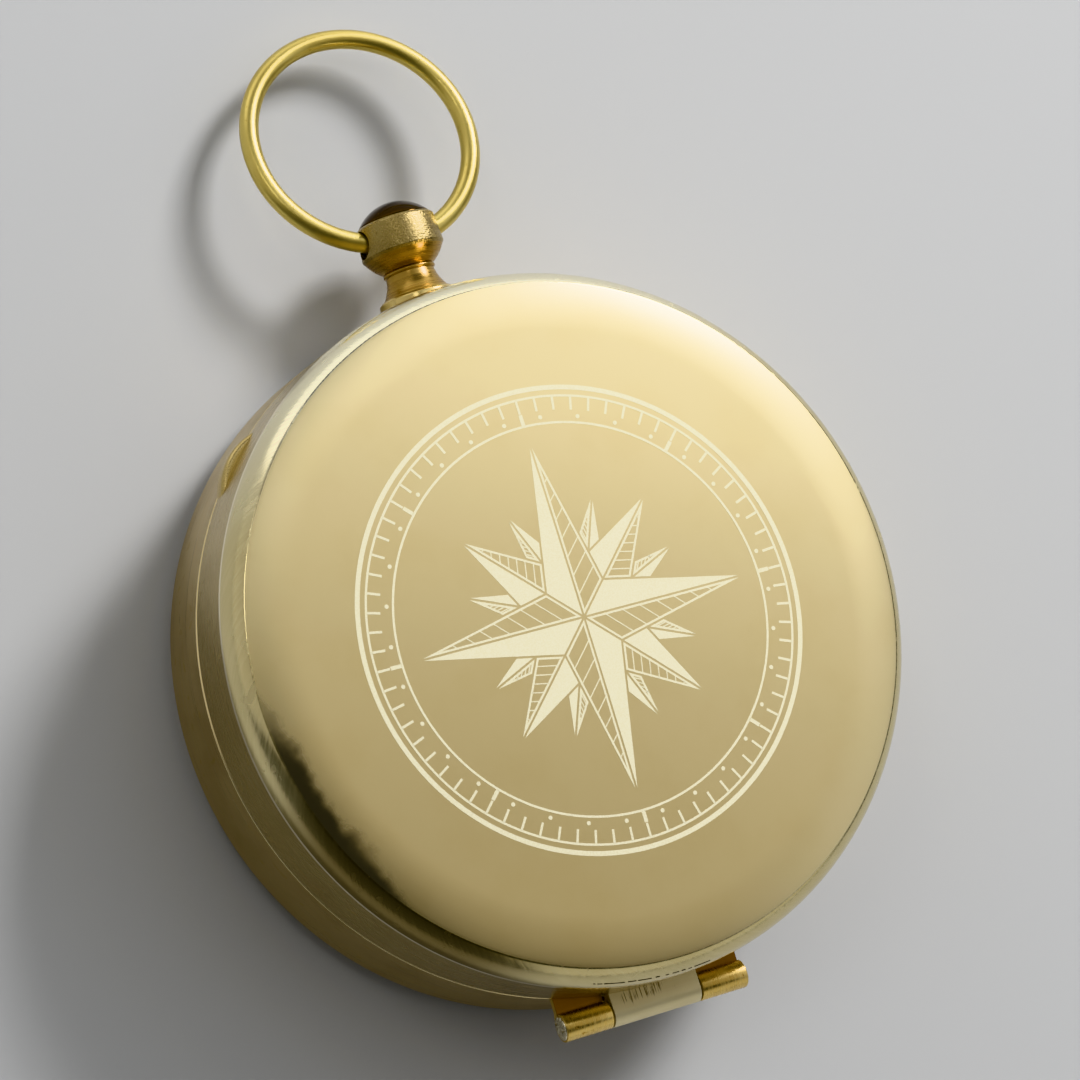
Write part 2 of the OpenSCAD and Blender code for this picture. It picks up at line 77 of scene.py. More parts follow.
# Two sets of scratches: how many per metre, their direction, and the noise level where they show.
SCRATCH_SETS = ((900.0, 24.0, 0.76), (1300.0, -52.0, 0.77))
# Radius at which the slanting strokes are measured, and how far they slant.
SKEW_REACH = 24.5
SKEW_ANGLE = 28.0
Color = tuple[float, float, float]
Point = tuple[float, float, float]
Net = bmesh.types.BMesh
Socket = bpy.types.NodeSocket


def pivot(joint: str) -> Vector:
    """Gives a joint's place, in millimetres."""
    return Vector(next(j["pos_m"] for j in frame["joints"] if j["name"] == joint)) / MM


PENDANT_Z = pivot("bow_swing").z


class Body(Enum):
    """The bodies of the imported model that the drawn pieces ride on."""

    CASE = "case"
    LID = "lid"
    BOW = "bow"


class Grain(Enum):
    """Which way the tool marks run on a metal piece."""

    AROUND_CASE = "rings about the middle of the case"
    SKEWED = "fine strokes that cross the rim at a slant"
    AROUND_PENDANT = "rings about the pendant's axis"
    ALONG_HINGE = "lines along the hinge"
    ACROSS_HINGE = "file marks round the knuckles"
    SATIN = "fine marks in all directions"


@dataclass(frozen=True)
class Pattern:
    """A cloudy pattern: repeats per millimetre, finer layers, and the levels between which it comes up."""

    repeats: float
    detail: float
    start: float
    end: float


STAIN = Pattern(0.22, 4.0, 0.42, 0.72)
PITS = Pattern(2.6, 2.0, 0.24, 0.36)
SCUFF_GROUPS = Pattern(0.6, 1.0, 0.45, 0.62)
SMEAR = Pattern(0.3, 3.0, 0.45, 0.7)
HEAT = Pattern(0.35, 2.0, 0.3, 0.7)


class Shader:
    """A material's node tree, with a short call for each kind of node that the finishes use."""

    def __init__(self, name: str) -> None:
        """Makes an empty material with one Principled shader.

        Args:
            name: The material's name.
        """
        self.material = bpy.data.materials.new(name)
        self.material.use_nodes = True
        self.tree = self.material.node_tree
        self.tree.nodes.clear()
        self.surface = self.node("ShaderNodeBsdfPrincipled")
        output = self.node("ShaderNodeOutputMaterial")
        self.tree.links.new(self.surface.outputs["BSDF"], output.inputs["Surface"])

    def node(self, kind: str, **settings: object) -> bpy.types.Node:
        """Adds a node.

        Args:
            kind: Blender's name of the node type.
            **settings: Attributes to set on the node.

        Returns:
            The new node.
        """
        made = self.tree.nodes.new(kind)
        for key, value in settings.items():
            setattr(made, key, value)
        return made

    def put(self, socket: Socket, value: object) -> None:
        """Links a socket to another, or sets its constant.

        Args:
            socket: The input.
            value: An output socket, a number, a color or a vector.
        """
        if isinstance(value, bpy.types.NodeSocket):
            self.tree.links.new(value, socket)
        elif isinstance(value, tuple) and len(value) == 3 and socket.type == "RGBA":
            socket.default_value = (*value, 1.0)
        else:
            socket.default_value = value

    def set(self, **values: object) -> None:
        """Sets inputs of the Principled shader, with underscores for spaces.

        Args:
            **values: The input's name and its value or source.
        """
        for key, value in values.items():
            self.put(self.surface.inputs[key.replace("_", " ")], value)

    def place(self) -> Socket:
        """Gives the piece's own coordinates, in metres in the frame of the case."""
        return self.node("ShaderNodeTexCoord").outputs["Object"]

    def mapped(self, scale: Point, shift: Point = (0.0, 0.0, 0.0), turn: float = 0.0) -> Socket:
        """Scales the piece's coordinates, with one factor per axis.

        Args:
            scale: Repeats per metre along X, Y and Z.
            shift: Offset after the scaling.
            turn: Turn about Z before the scaling, in degrees.

        Returns:
            The scaled vector.
        """
        turner = self.node("ShaderNodeMapping", vector_type="POINT")
        turner.inputs["Rotation"].default_value = (0.0, 0.0, math.radians(turn))
        self.put(turner.inputs["Vector"], self.place())
        made = self.node("ShaderNodeMapping", vector_type="POINT")
        self.put(made.inputs["Vector"], turner.outputs["Vector"])
        made.inputs["Scale"].default_value = scale
        made.inputs["Location"].default_value = shift
        return made.outputs["Vector"]

    def math(self, operation: str, first: object, second: object = 0.0) -> Socket:
        """Works out one sum.

        Args:
            operation: Blender's name of the operation.
            first: First operand.
            second: Second operand.

        Returns:
            The result's socket.
        """
        made = self.node("ShaderNodeMath", operation=operation)
        self.put(made.inputs[0], first)
        self.put(made.inputs[1], second)
        return made.outputs[0]

    def times(self, *factors: object) -> Socket:
        """Multiplies two or more values.

        Args:
            *factors: The values.

        Returns:
            Their product.
        """
        product = factors[0]
        for factor in factors[1:]:
            product = self.math("MULTIPLY", product, factor)
        return product

    def length(self, x: Socket, y: Socket) -> Socket:
        """Gives the distance from an axis.

        Args:
            x: Distance from it one way.
            y: Distance from it the other way.

        Returns:
            The distance.
        """
        return self.math("SQRT", self.math("ADD", self.times(x, x), self.times(y, y)))

    def facing(self, degrees: float) -> tuple[Socket, Socket]:
        """Tells how far out a point lies and how squarely it faces a direction from the middle.

        Args:
            degrees: The direction about Z.

        Returns:
            The distance from the middle, and the cosine between the point's direction and the given one.
        """
        x, y, _ = self.split(self.place())
        radius = self.length(x, y)
        turn = math.radians(degrees)
        along = self.math("ADD", self.times(x, math.cos(turn)), self.times(y, math.sin(turn)))
        return radius, self.math("DIVIDE", along, radius)

    def split(self, vector: Socket) -> list[Socket]:
        """Gives a vector's three components.

        Args:
            vector: The vector.

        Returns:
            Its X, Y and Z sockets.
        """
        made = self.node("ShaderNodeSeparateXYZ")
        self.put(made.inputs[0], vector)
        return list(made.outputs)

    def join(self, *parts: object) -> Socket:
        """Makes a vector of three components.

        Args:
            *parts: Its X, Y and Z.

        Returns:
            The vector.
        """
        made = self.node("ShaderNodeCombineXYZ")
        for socket, part in zip(made.inputs, parts):
            self.put(socket, part)
        return made.outputs[0]

    def noise(self, vector: Socket, scale: float, detail: float = 3.0, w: Socket | None = None) -> Socket:
        """Gives a noise value around a half.

        Args:
            vector: The coordinates.
            scale: Repeats per unit of the coordinates.
            detail: Number of finer layers.
            w: A fourth coordinate, if there is one.

        Returns:
            The value's socket.
        """
        made = self.node("ShaderNodeTexNoise", noise_dimensions="3D" if w is None else "4D")
        self.put(made.inputs["Vector"], vector)
        made.inputs["Scale"].default_value = scale
        made.inputs["Detail"].default_value = detail
        if w is not None:
            self.put(made.inputs["W"], w)
        return made.outputs["Fac"]

    def ramp(self, value: Socket, start: float, end: float,
             at_start: object = 0.0, at_end: object = 1.0) -> Socket:
        """Maps a range smoothly to another and clamps it.

        Args:
            value: The value.
            start: Where the ramp starts.
            end: Where the ramp ends.
            at_start: Result at and before the start.
            at_end: Result at and after the end.

        Returns:
            The mapped value.
        """
        made = self.node("ShaderNodeMapRange", interpolation_type="SMOOTHSTEP")
        for name, given in (("Value", value), ("From Min", start), ("From Max", end),
                            ("To Min", at_start), ("To Max", at_end)):
            self.put(made.inputs[name], given)
        return made.outputs["Result"]

    def patches(self, pattern: Pattern, at_start: float = 0.0, at_end: float = 1.0) -> Socket:
        """Spreads a cloudy pattern over the piece.

        Args:
            pattern: The pattern.
            at_start: Result where the pattern is at or under its lower level.
            at_end: Result where it is at or over its upper level.

        Returns:
            The value's socket.
        """
        cloud = self.noise(self.place(), pattern.repeats / MM, pattern.detail)
        return self.ramp(cloud, pattern.start, pattern.end, at_start, at_end)

    def blend(self, share: object, first: object, second: object) -> Socket:
        """Mixes two colors.

        Args:
            share: Share of the second color.
            first: Color at a share of zero.
            second: Color at a share of one.

        Returns:
            The mixed color.
        """
        made = self.node("ShaderNodeMix", data_type="RGBA", clamp_factor=True)
        for index, given in ((0, share), (6, first), (7, second)):
            self.put(made.inputs[index], given)
        return made.outputs[2]

    def bump(self, height: Socket, depth: float) -> None:
        """Presses a height into the surface, on top of what is pressed in already.

        Args:
            height: The height, from 0 to 1.
            depth: Depth of a full step, in millimetres.
        """
        made = self.node("ShaderNodeBump")
        made.inputs["Distance"].default_value = depth * MM
        self.put(made.inputs["Height"], height)
        if self.surface.inputs["Normal"].links:
            self.put(made.inputs["Normal"], self.surface.inputs["Normal"].links[0].from_socket)
        self.put(self.surface.inputs["Normal"], made.outputs["Normal"])

    def scratches(self, per_metre: float, turn: float, rarity: float,
                  stretch: float = 45.0, edge: float = 0.04) -> Socket:
        """Gives sparse straight scratches in one direction.

        Args:
            per_metre: Scratches per metre across their direction.
            turn: Direction about Z, in degrees.
            rarity: Noise level above which a scratch shows.
            stretch: How many times longer than wide a scratch is.
            edge: Further noise at which it is at its full depth.

        Returns:
            One in a scratch and zero elsewhere.
        """
        vector = self.mapped((per_metre / stretch, per_metre, per_metre), (turn, 0.0, 0.0), turn)
        return self.ramp(self.noise(vector, 1.0, 1.0), rarity, rarity + edge)


@dataclass(frozen=True)
class Metal:
    """A worn metal finish with tool marks, patina, scratches and pits."""

    slot: str
    color: Color
    shade: Color
    rough: float
    spread: float = 0.06
    grain: Grain = Grain.SATIN
    lines: float = 14.0
    depth: float = 0.004
    scratched: float = 0.0
    pitted: float = 0.0
    patina: float = 0.35
    streaks: float = 0.0
    name: str = ""
    file_short: float = 4.0
    slant_short: float = 3.0
    scratch_depth: float = 0.003
    scratch_rough: float = 0.12
    pit_depth: float = 0.012

    def skewed(self, shader: Shader) -> Socket:
        """Gives the place in strokes that cross the rim at a slant.

        Args:
            shader: The material in the making.

        Returns:
            The coordinates, one repeat per mark.
        """
        x, y, z = shader.split(shader.place())
        fall = math.radians(SKEW_ANGLE)
        around = shader.times(shader.math("ARCTAN2", y, x), SKEW_REACH * MM)
        across = shader.math("ADD", shader.times(around, math.sin(fall)), shader.times(z, math.cos(fall)))
        along = shader.math("SUBTRACT", shader.times(around, math.cos(fall)),
                            shader.times(z, math.sin(fall)))
        close, wide = self.lines / MM, self.lines / MM / MARK_STRETCH
        return shader.join(shader.times(across, close), shader.times(along, wide * self.slant_short), 0.0)

    def marks(self, shader: Shader) -> Socket:
        """Gives the tool marks' height.

        Args:
            shader: The material in the making.

        Returns:
            The height, from 0 to 1.
        """
        close, wide = self.lines / MM, self.lines / MM / MARK_STRETCH
        if self.grain is Grain.SATIN:
            return shader.noise(shader.place(), close, 2.0)
        if self.grain is Grain.ALONG_HINGE:
            return shader.noise(shader.mapped((wide, close, close)), 1.0)
        if self.grain is Grain.ACROSS_HINGE:
            short = wide * self.file_short
            return shader.noise(shader.mapped((close, short, short)), 1.0)
        if self.grain is Grain.SKEWED:
            return shader.noise(self.skewed(shader), 1.0)
        x, across, height = shader.split(shader.place())
        if self.grain is Grain.AROUND_PENDANT:
            across, height = shader.math("SUBTRACT", height, PENDANT_Z * MM), across
        rings = shader.join(shader.times(shader.length(x, across), close), shader.times(height, close),
                            shader.times(x, wide))
        return shader.noise(rings, 1.0, 3.0, shader.times(across, wide))

    def wear(self, shader: Shader, tone: Socket, rough: Socket) -> tuple[Socket, Socket]:
        """Adds the piece's own wear, which plain pieces don't have.

        Args:
            shader: The material in the making.
            tone: The color so far.
            rough: The roughness so far.

        Returns:
            The color and the roughness.
        """
        return tone, rough

    def scratch(self, shader: Shader, rough: Socket) -> Socket:
        """Presses two sets of scratches in.

        Args:
            shader: The material in the making.
            rough: The roughness so far.

        Returns:
            The roughness with the scratches.
        """
        often = self.scratched / 10
        found = shader.math("MAXIMUM", *(shader.scratches(count, degrees, level - often)
                                         for count, degrees, level in SCRATCH_SETS))
        shader.bump(shader.math("SUBTRACT", 1.0, found), self.scratch_depth)
        return shader.math("ADD", rough, shader.times(found, self.scratch_rough))

    def material(self) -> bpy.types.Material:
        """Builds the finish.

        Returns:
            The material.
        """
        shader = Shader(self.name or self.slot)
        marks = self.marks(shader)
        tone = shader.blend(shader.patches(STAIN, 0.0, self.patina), self.color, self.shade)
        if self.streaks:
            tone = shader.blend(shader.ramp(marks, *STREAK_LEVELS, self.streaks, 0.0), tone, self.shade)
        half = self.spread / 2
        rough = shader.ramp(marks, *MARK_LEVELS, self.rough - half, self.rough + half)
        shader.bump(marks, self.depth)
        if self.scratched:
            rough = self.scratch(shader, rough)
        if self.pitted:
            pit = shader.patches(PITS)
            share = shader.times(shader.math("SUBTRACT", 1.0, pit), self.pitted)
            tone = shader.blend(share, tone, self.shade)
            shader.bump(pit, self.pit_depth * self.pitted)
        tone, rough = self.wear(shader, tone, rough)
        shader.set(Base_Color=tone, Metallic=1.0, Roughness=rough)
        return shader.material


@dataclass(frozen=True)
class ScuffedMetal(Metal):
    """Metal with short dark file marks next to the case, as the lid's knuckle has."""

    scuff_start: float = 25.3
    scuff_end: float = 25.7
    scuff_ragged: float = 2.0
    strokes_across: float = 9.0
    strokes_along: float = 0.4
    stroke_levels: tuple[float, float] = (0.50, 0.56)
    strength: float = 0.9
    scuff: Color = (0.20, 0.15, 0.07)

    def wear(self, shader: Shader, tone: Socket, rough: Socket) -> tuple[Socket, Socket]:
        """Draws short dark strokes on the side next to the case.

        Args:
            shader: The material in the making.
            tone: The color so far.
            rough: The roughness so far.

        Returns:
            The color with the strokes, and the same roughness.
        """
        close, long = self.strokes_across / MM, self.strokes_along / MM
        stroke = shader.noise(shader.mapped((close, long, long)), 1.0, 2.0)
        out = shader.times(shader.split(shader.place())[1], -1.0)
        ragged = shader.times(shader.math("SUBTRACT", stroke, 0.5), self.scuff_ragged * MM)
        reach = shader.math("SUBTRACT", out, ragged)
        near = shader.ramp(reach, self.scuff_start * MM, self.scuff_end * MM, 1.0, 0.0)
        dark = shader.ramp(stroke, *self.stroke_levels, 0.0, self.strength)
        share = shader.times(near, shader.patches(SCUFF_GROUPS), dark)
        return shader.blend(share, tone, self.scuff), rough


@dataclass(frozen=True)
class RubbedMetal(Metal):
    """Satin metal that is rubbed to a mirror in a ragged patch along part of its rim, where its tone is
    also painted darker as a dark reflection.
    """

    rim: float = 23.95
    deep: float = 1.75
    fade: float = 1.4
    middle: float = 200.0
    reach_start: float = 0.905
    reach_end: float = 0.985
    ragged: float = 1.3
    tears: float = 0.55
    # Darker tone of the rubbed patch: painted dark reflection.
    rubbed: Color = (0.60, 0.52, 0.34)
    rubbed_rough: float = 0.09

    def wear(self, shader: Shader, tone: Socket, rough: Socket) -> tuple[Socket, Socket]:
        """Rubs the patch along the rim to a mirror and paints it darker, a painted reflection.

        Args:
            shader: The material in the making.
            tone: The color so far.
            rough: The roughness so far.

        Returns:
            The color and the roughness.
        """
        radius, towards = shader.facing(self.middle)
        depth = shader.ramp(towards, self.reach_start, self.reach_end, 0.0, self.deep * MM)
        tear = shader.math("SUBTRACT", shader.noise(shader.place(), self.tears / MM, 5.0), 0.5)
        edge = shader.math("ADD", shader.math("SUBTRACT", self.rim * MM, depth),
                           shader.times(tear, self.ragged, depth))
        share = shader.ramp(shader.math("SUBTRACT", radius, edge), 0.0, self.fade * MM)
        mixed = shader.math("ADD", shader.times(rough, shader.math("SUBTRACT", 1.0, share)),
                            shader.times(share, self.rubbed_rough))
        return shader.blend(share, tone, self.rubbed), mixed


@dataclass(frozen=True)
class Side:
    """A side of the case whose tone carries painted light or shade: direction, the cosines where the tone
    fades in, and color.
    """

    degrees: float
    start: float
    end: float
    color: Color


@dataclass(frozen=True)
class SidedMetal(Metal):
    """Metal with painted light: its tone is painted lighter or darker on given sides of the case."""

    sides: tuple[Side, ...] = ()

    def wear(self, shader: Shader, tone: Socket, rough: Socket) -> tuple[Socket, Socket]:
        """Blends each side's painted highlight or painted shade into the color.

        Args:
            shader: The material in the making.
            tone: The color so far.
            rough: The roughness so far.

        Returns:
            The color with its painted light and shade, and the same roughness.
        """
        for side in self.sides:
            _, towards = shader.facing(side.degrees)
            tone = shader.blend(shader.ramp(towards, side.start, side.end), tone, side.color)
        return tone, rough


@dataclass(frozen=True)
class Matt:
    """A finish without bare metal: print, paint, jewel, painted shade or a frosted engraving."""

    slot: str
    color: Color
    shade: Color
    rough: float = 0.6
    metal: float = 0.0
    coat: float = 0.0
    speckle: float = 9.0
    spread: float = 0.12
    depth: float = 0.004
    name: str = ""

    def material(self) -> bpy.types.Material:
        """Builds the finish.

        Returns:
            The material.
        """
        shader = Shader(self.name or self.slot)
        grain = shader.noise(shader.place(), self.speckle / MM, 3.0)
        shader.bump(grain, self.depth)
        half = self.spread / 2
        shader.set(Base_Color=shader.blend(shader.ramp(grain, *SPECKLE_LEVELS), self.color, self.shade),
                   Roughness=shader.ramp(grain, *MARK_LEVELS, self.rough - half, self.rough + half),
                   Metallic=self.metal, Coat_Weight=self.coat)
        return shader.material


@dataclass(frozen=True)
class Clear:
    """Flat polished glass with a faint greenish tint."""

    slot: str
    color: Color
    rough: float = 0.015
    smeared: float = 0.045
    bending: float = 1.5

    def material(self) -> bpy.types.Material:
        """Builds the finish.

        Returns:
            The material.
        """
        shader = Shader(self.slot)
        shader.set(Base_Color=self.color, Transmission_Weight=1.0, IOR=self.bending,
                   Roughness=shader.patches(SMEAR, self.rough, self.smeared))
        return shader.material


@dataclass(frozen=True)
class TwoTone:
    """Needle steel: a blued north arm and a bright brushed south arm."""

    slot: str
    north: Color
    heated: Color
    south: Color
    rough: float = 0.24
    spread: float = 0.1
    change: float = 2.4
    fade: float = 0.1
    depth: float = 0.003
    brush_across: float = 16.0
    brush_along: float = 0.4
    least_blue: float = 0.6

    def material(self) -> bpy.types.Material:
        """Builds the finish.

        Returns:
            The material.
        """
        shader = Shader(self.slot)
        close = self.brush_across / MM
        brushed = shader.noise(shader.mapped((close, self.brush_along / MM, close)), 1.0)
        along = shader.split(shader.place())[1]
        side = shader.ramp(along, self.change * MM, (self.change + self.fade) * MM)
        blued = shader.blend(shader.patches(HEAT, self.least_blue, 1.0), self.heated, self.north)
        shader.set(Base_Color=shader.blend(side, self.south, blued), Metallic=1.0,
                   Roughness=shader.ramp(brushed, *MARK_LEVELS, self.rough, self.rough + self.spread))
        shader.bump(brushed, self.depth)
        return shader.material


Finish = Metal | Matt | Clear | TwoTone


def turn(mesh: Net, degrees: float, axis: str) -> None:
    """Turns a whole mesh about an axis of the frame."""
    bmesh.ops.rotate(mesh, verts=mesh.verts, cent=(0.0, 0.0, 0.0),
                     matrix=Matrix.Rotation(math.radians(degrees), 3, axis))


def shift(mesh: Net, x: float, y: float, z: float) -> None:
    """Moves a whole mesh."""
    bmesh.ops.translate(mesh, verts=mesh.verts, vec=(x, y, z))


def add_box(mesh: Net, place: Matrix, size: Point) -> None:
    """Adds a box, whose middle goes where the matrix puts the origin."""
    bmesh.ops.create_cube(mesh, size=1.0, matrix=place @ Matrix.Diagonal((*size, 1.0)))


def link(name: str, data: bpy.types.ID) -> bpy.types.Object:
    """Makes an object and puts it into the scene."""
    made = bpy.data.objects.new(name, data)
    bpy.context.scene.collection.objects.link(made)
    return made


class Section:
    """The outline of a piece, drawn from point to point in a radius (X) and a height (Z)."""

    def __init__(self, r: float, h: float) -> None:
        """Starts the outline.

        Args:
            r: First point's radius.
            h: First point's height.
        """
        self.mesh = bmesh.new()
        self.tip = self.mesh.verts.new((r, 0.0, h))
        self.start = self.tip

    def to(self, r: float, h: float) -> "Section":
        """Draws a straight line to a point.

        Args:
            r: The point's radius.
            h: The point's height.

        Returns:
            The same outline.
        """
        point = self.mesh.verts.new((r, 0.0, h))
        self.mesh.edges.new((self.tip, point))
        self.tip = point
        return self

    def arc(self, r: float, h: float, degrees: float, steps: int) -> "Section":
        """Draws an arc from the last point about a centre, anticlockwise if positive.

        Args:
            r: The centre's radius.
            h: The centre's height.
            degrees: Angle of the arc.
            steps: Number of straight steps.

        Returns:
            The same outline.
        """
        made = bmesh.ops.spin(self.mesh, geom=[self.tip], cent=(r, 0.0, h), axis=(0.0, -1.0, 0.0),
                              angle=math.radians(degrees), steps=steps)
        self.tip = made["geom_last"][0]
        return self

    def arc_to(self, r: float, h: float, bend: float, steps: int) -> "Section":
        """Draws the shorter arc of a given radius to a point.

        Args:
            r: The point's radius.
            h: The point's height.
            bend: The arc's own radius, anticlockwise if positive.
            steps: Number of straight steps.

        Returns:
            The same outline.
        """
        chord = Vector((r - self.tip.co.x, h - self.tip.co.z))
        left = Vector((-chord.y, chord.x)).normalized()
        reach = math.copysign(math.sqrt(max(0.0, bend**2 - chord.length_squared / 4)), bend)
        half = math.degrees(math.asin(min(1.0, chord.length / 2 / abs(bend))))
        return self.arc((self.tip.co.x + r) / 2 + left.x * reach, (self.tip.co.z + h) / 2 + left.y * reach,
                        math.copysign(2 * half, bend), steps)

    def turned(self, steps: int = TURN_STEPS) -> Net:
        """Spins the outline a full turn about the Z axis.

        Args:
            steps: Number of steps round.

        Returns:
            The closed mesh.
        """
        bmesh.ops.spin(self.mesh, geom=self.mesh.verts[:] + self.mesh.edges[:], cent=(0.0, 0.0, 0.0),
                       axis=(0.0, 0.0, 1.0), angle=math.tau, steps=steps, use_merge=True)
        bmesh.ops.remove_doubles(self.mesh, verts=self.mesh.verts, dist=MERGE)
        bmesh.ops.recalc_face_normals(self.mesh, faces=self.mesh.faces)
        return self.mesh

    def along_x(self, low: float, high: float) -> Net:
        """Fills the outline, whose radius now stands for Y, and draws it out along X.

        Args:
            low: Lowest X.
            high: Highest X.

        Returns:
            The closed mesh.
        """
        self.mesh.edges.new((self.tip, self.start))
        face = self.mesh.faces.new(self.mesh.verts[:])
        turn(self.mesh, 90.0, "Z")
        shift(self.mesh, low, 0.0, 0.0)
        drawn = bmesh.ops.extrude_face_region(self.mesh, geom=[face])
        moved = [v for v in drawn["geom"] if isinstance(v, bmesh.types.BMVert)]
        bmesh.ops.translate(self.mesh, verts=moved, vec=(high - low, 0.0, 0.0))
        bmesh.ops.recalc_face_normals(self.mesh, faces=self.mesh.faces)
        return self.mesh


def sharp_edges(mesh: Net, degrees: float) -> list[bmesh.types.BMEdge]:
    """Lists the edges where two faces meet at more than an angle.

    Args:
        mesh: The mesh.
        degrees: The angle.

    Returns:
        The edges.
    """
    limit = math.radians(degrees)
    return [e for e in mesh.edges if len(e.link_faces) == 2 and e.calc_face_angle(0.0) > limit]


def bevel(mesh: Net, edges: list[bmesh.types.BMEdge], width: float, segments: int) -> None:
    """Rounds some of a mesh's edges."""
    bmesh.ops.bevel(mesh, geom=edges, offset=width, offset_type="OFFSET", segments=segments, profile=0.5,
                    affect="EDGES", material=-1, clamp_overlap=True)


def break_edges(mesh: Net, width: float, degrees: float = 25.0, segments: int = 3) -> None:
    """Rounds a mesh's sharp edges.

    Args:
        mesh: The mesh.
        width: Width of the rounding on each side.
        degrees: Least angle of an edge that is rounded.
        segments: Steps across the rounding.
    """
    bevel(mesh, sharp_edges(mesh, degrees), width, segments)


def carve(mesh: Net, cutter: Net) -> Net:
    """Cuts one closed mesh out of another.

    Args:
        mesh: The mesh that is cut.
        cutter: The mesh that is taken away. Both are used up.

    Returns:
        What is left.
    """
    parts = []
    for name, part in (("carved", mesh), ("cutter", cutter)):
        data = bpy.data.meshes.new(name)
        part.to_mesh(data)
        part.free()
        parts.append(link(name, data))
    cut = parts[0].modifiers.new("cut", "BOOLEAN")
    cut.operation = "DIFFERENCE"
    cut.solver = "EXACT"
    cut.object = parts[1]
    left = bmesh.new()
    left.from_object(parts[0], bpy.context.evaluated_depsgraph_get())
    for part in parts:
        data = part.data
        bpy.data.objects.remove(part)
        bpy.data.meshes.remove(data)
    bmesh.ops.remove_doubles(left, verts=left.verts, dist=MERGE)
    bmesh.ops.dissolve_degenerate(left, edges=left.edges, dist=MERGE)
    return left


def add_to(mesh: Net, other: Net) -> Net:
    """Adds one mesh's faces to another.

    Args:
        mesh: The mesh that grows.
        other: The mesh that is added and used up.

    Returns:
        The grown mesh.
    """
    data = bpy.data.meshes.new("added")
    other.to_mesh(data)
    other.free()
    mesh.from_mesh(data)
    bpy.data.meshes.remove(data)
    return mesh


def fit(mesh: Net, name: str, body: Body, finishes: list[Finish], *replaces: str,
        zone: Callable[[bpy.types.MeshPolygon], int] | None = None) -> None:
    """Makes a finished piece of a mesh in millimetres, lets it ride and logs it.

    Args:
        mesh: The mesh, which is used up.
        name: The piece's name.
        body: The body that it rides on.
        finishes: Its finishes, which all belong to one slot.
        *replaces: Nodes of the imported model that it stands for.
        zone: Tells which finish a face has, where there is more than one.
    """
    bmesh.ops.scale(mesh, vec=(MM, MM, MM), verts=mesh.verts)
    data = bpy.data.meshes.new(name)
    mesh.to_mesh(data)
    mesh.free()
    piece = link(name, data)
    data.shade_smooth()
    data.set_sharp_from_angle(angle=math.radians(SHARP_ANGLE))
    shade = piece.modifiers.new("shading", "WEIGHTED_NORMAL")
    shade.mode = "FACE_AREA"
    shade.keep_sharp = True
    for finish in finishes:
        data.materials.append(finish.material())
    if zone:
        for face in data.polygons:
            face.material_index = zone(face)
    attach(piece, body.value)
    if replaces:
        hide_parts(*replaces)
    LOG.info("%s: %d faces on %s", name, len(data.polygons), body.value)


def dress(node: str, finish: Finish) -> None:
    """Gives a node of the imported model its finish.

    Args:
        node: The node's name.
        finish: The finish.
    """
    piece = frame["nodes"][node]
    made = finish.material()
    for slot in piece.material_slots:
        slot.material = made
    LOG.info("%s: dressed in %s", node, finish.slot)


# Satin face; its rim patch round 200 degrees is mirror polish with a painted dark reflection.
CHAMPAGNE = RubbedMetal(
    "lid_brass", (0.82, 0.69, 0.39), (0.76, 0.62, 0.32), rough=0.30, spread=0.05, lines=30.0, depth=0.0012,
    patina=0.3, name="lid_face_satin")
# Shoulder polish, painted lighter towards the pendant as a painted highlight and darker round 220 degrees
# as a painted dark reflection.
POLISHED_PAINTED_SIDES = SidedMetal(
    "lid_brass", (0.76, 0.66, 0.38), (0.60, 0.51, 0.27), rough=0.20, spread=0.12, grain=Grain.SKEWED,
    lines=7.0, depth=0.009, scratched=0.7, streaks=0.4, name="lid_shoulder_polish_painted_light",
    sides=(Side(95.0, 0.45, 0.95, (0.95, 0.89, 0.66)), Side(220.0, 0.86, 0.99, (0.26, 0.21, 0.11))))
# A pale band where the lid's wall meets the shoulder: a painted highlight.
CORNER_PAINTED_HIGHLIGHT = Metal(
    "lid_brass", (1.0, 0.91, 0.68), (0.94, 0.84, 0.58), rough=0.16, spread=0.08, grain=Grain.AROUND_CASE,
    lines=9.0, depth=0.001, name="lid_corner_painted_highlight")
# The lid's polished wall, its tone painted darker than the face's brass as painted shade.
RIM_PAINTED_SHADE = Metal(
    "lid_brass", (0.55, 0.44, 0.22), (0.40, 0.30, 0.13), rough=0.26, spread=0.08, grain=Grain.AROUND_CASE,
    lines=9.0, depth=0.002, scratched=0.4, name="lid_wall_polish_painted_shade")
INSIDE = Metal(
    "lid_brass", (0.82, 0.68, 0.38), (0.62, 0.48, 0.24), rough=0.22, spread=0.1, grain=Grain.AROUND_CASE,
    lines=6.0, name="lid_inside_turned")
LIP = Metal(
    "lid_brass", (0.60, 0.47, 0.22), (0.42, 0.31, 0.12), rough=0.30, spread=0.1, scratched=0.4,
    name="thumb_lip_satin")
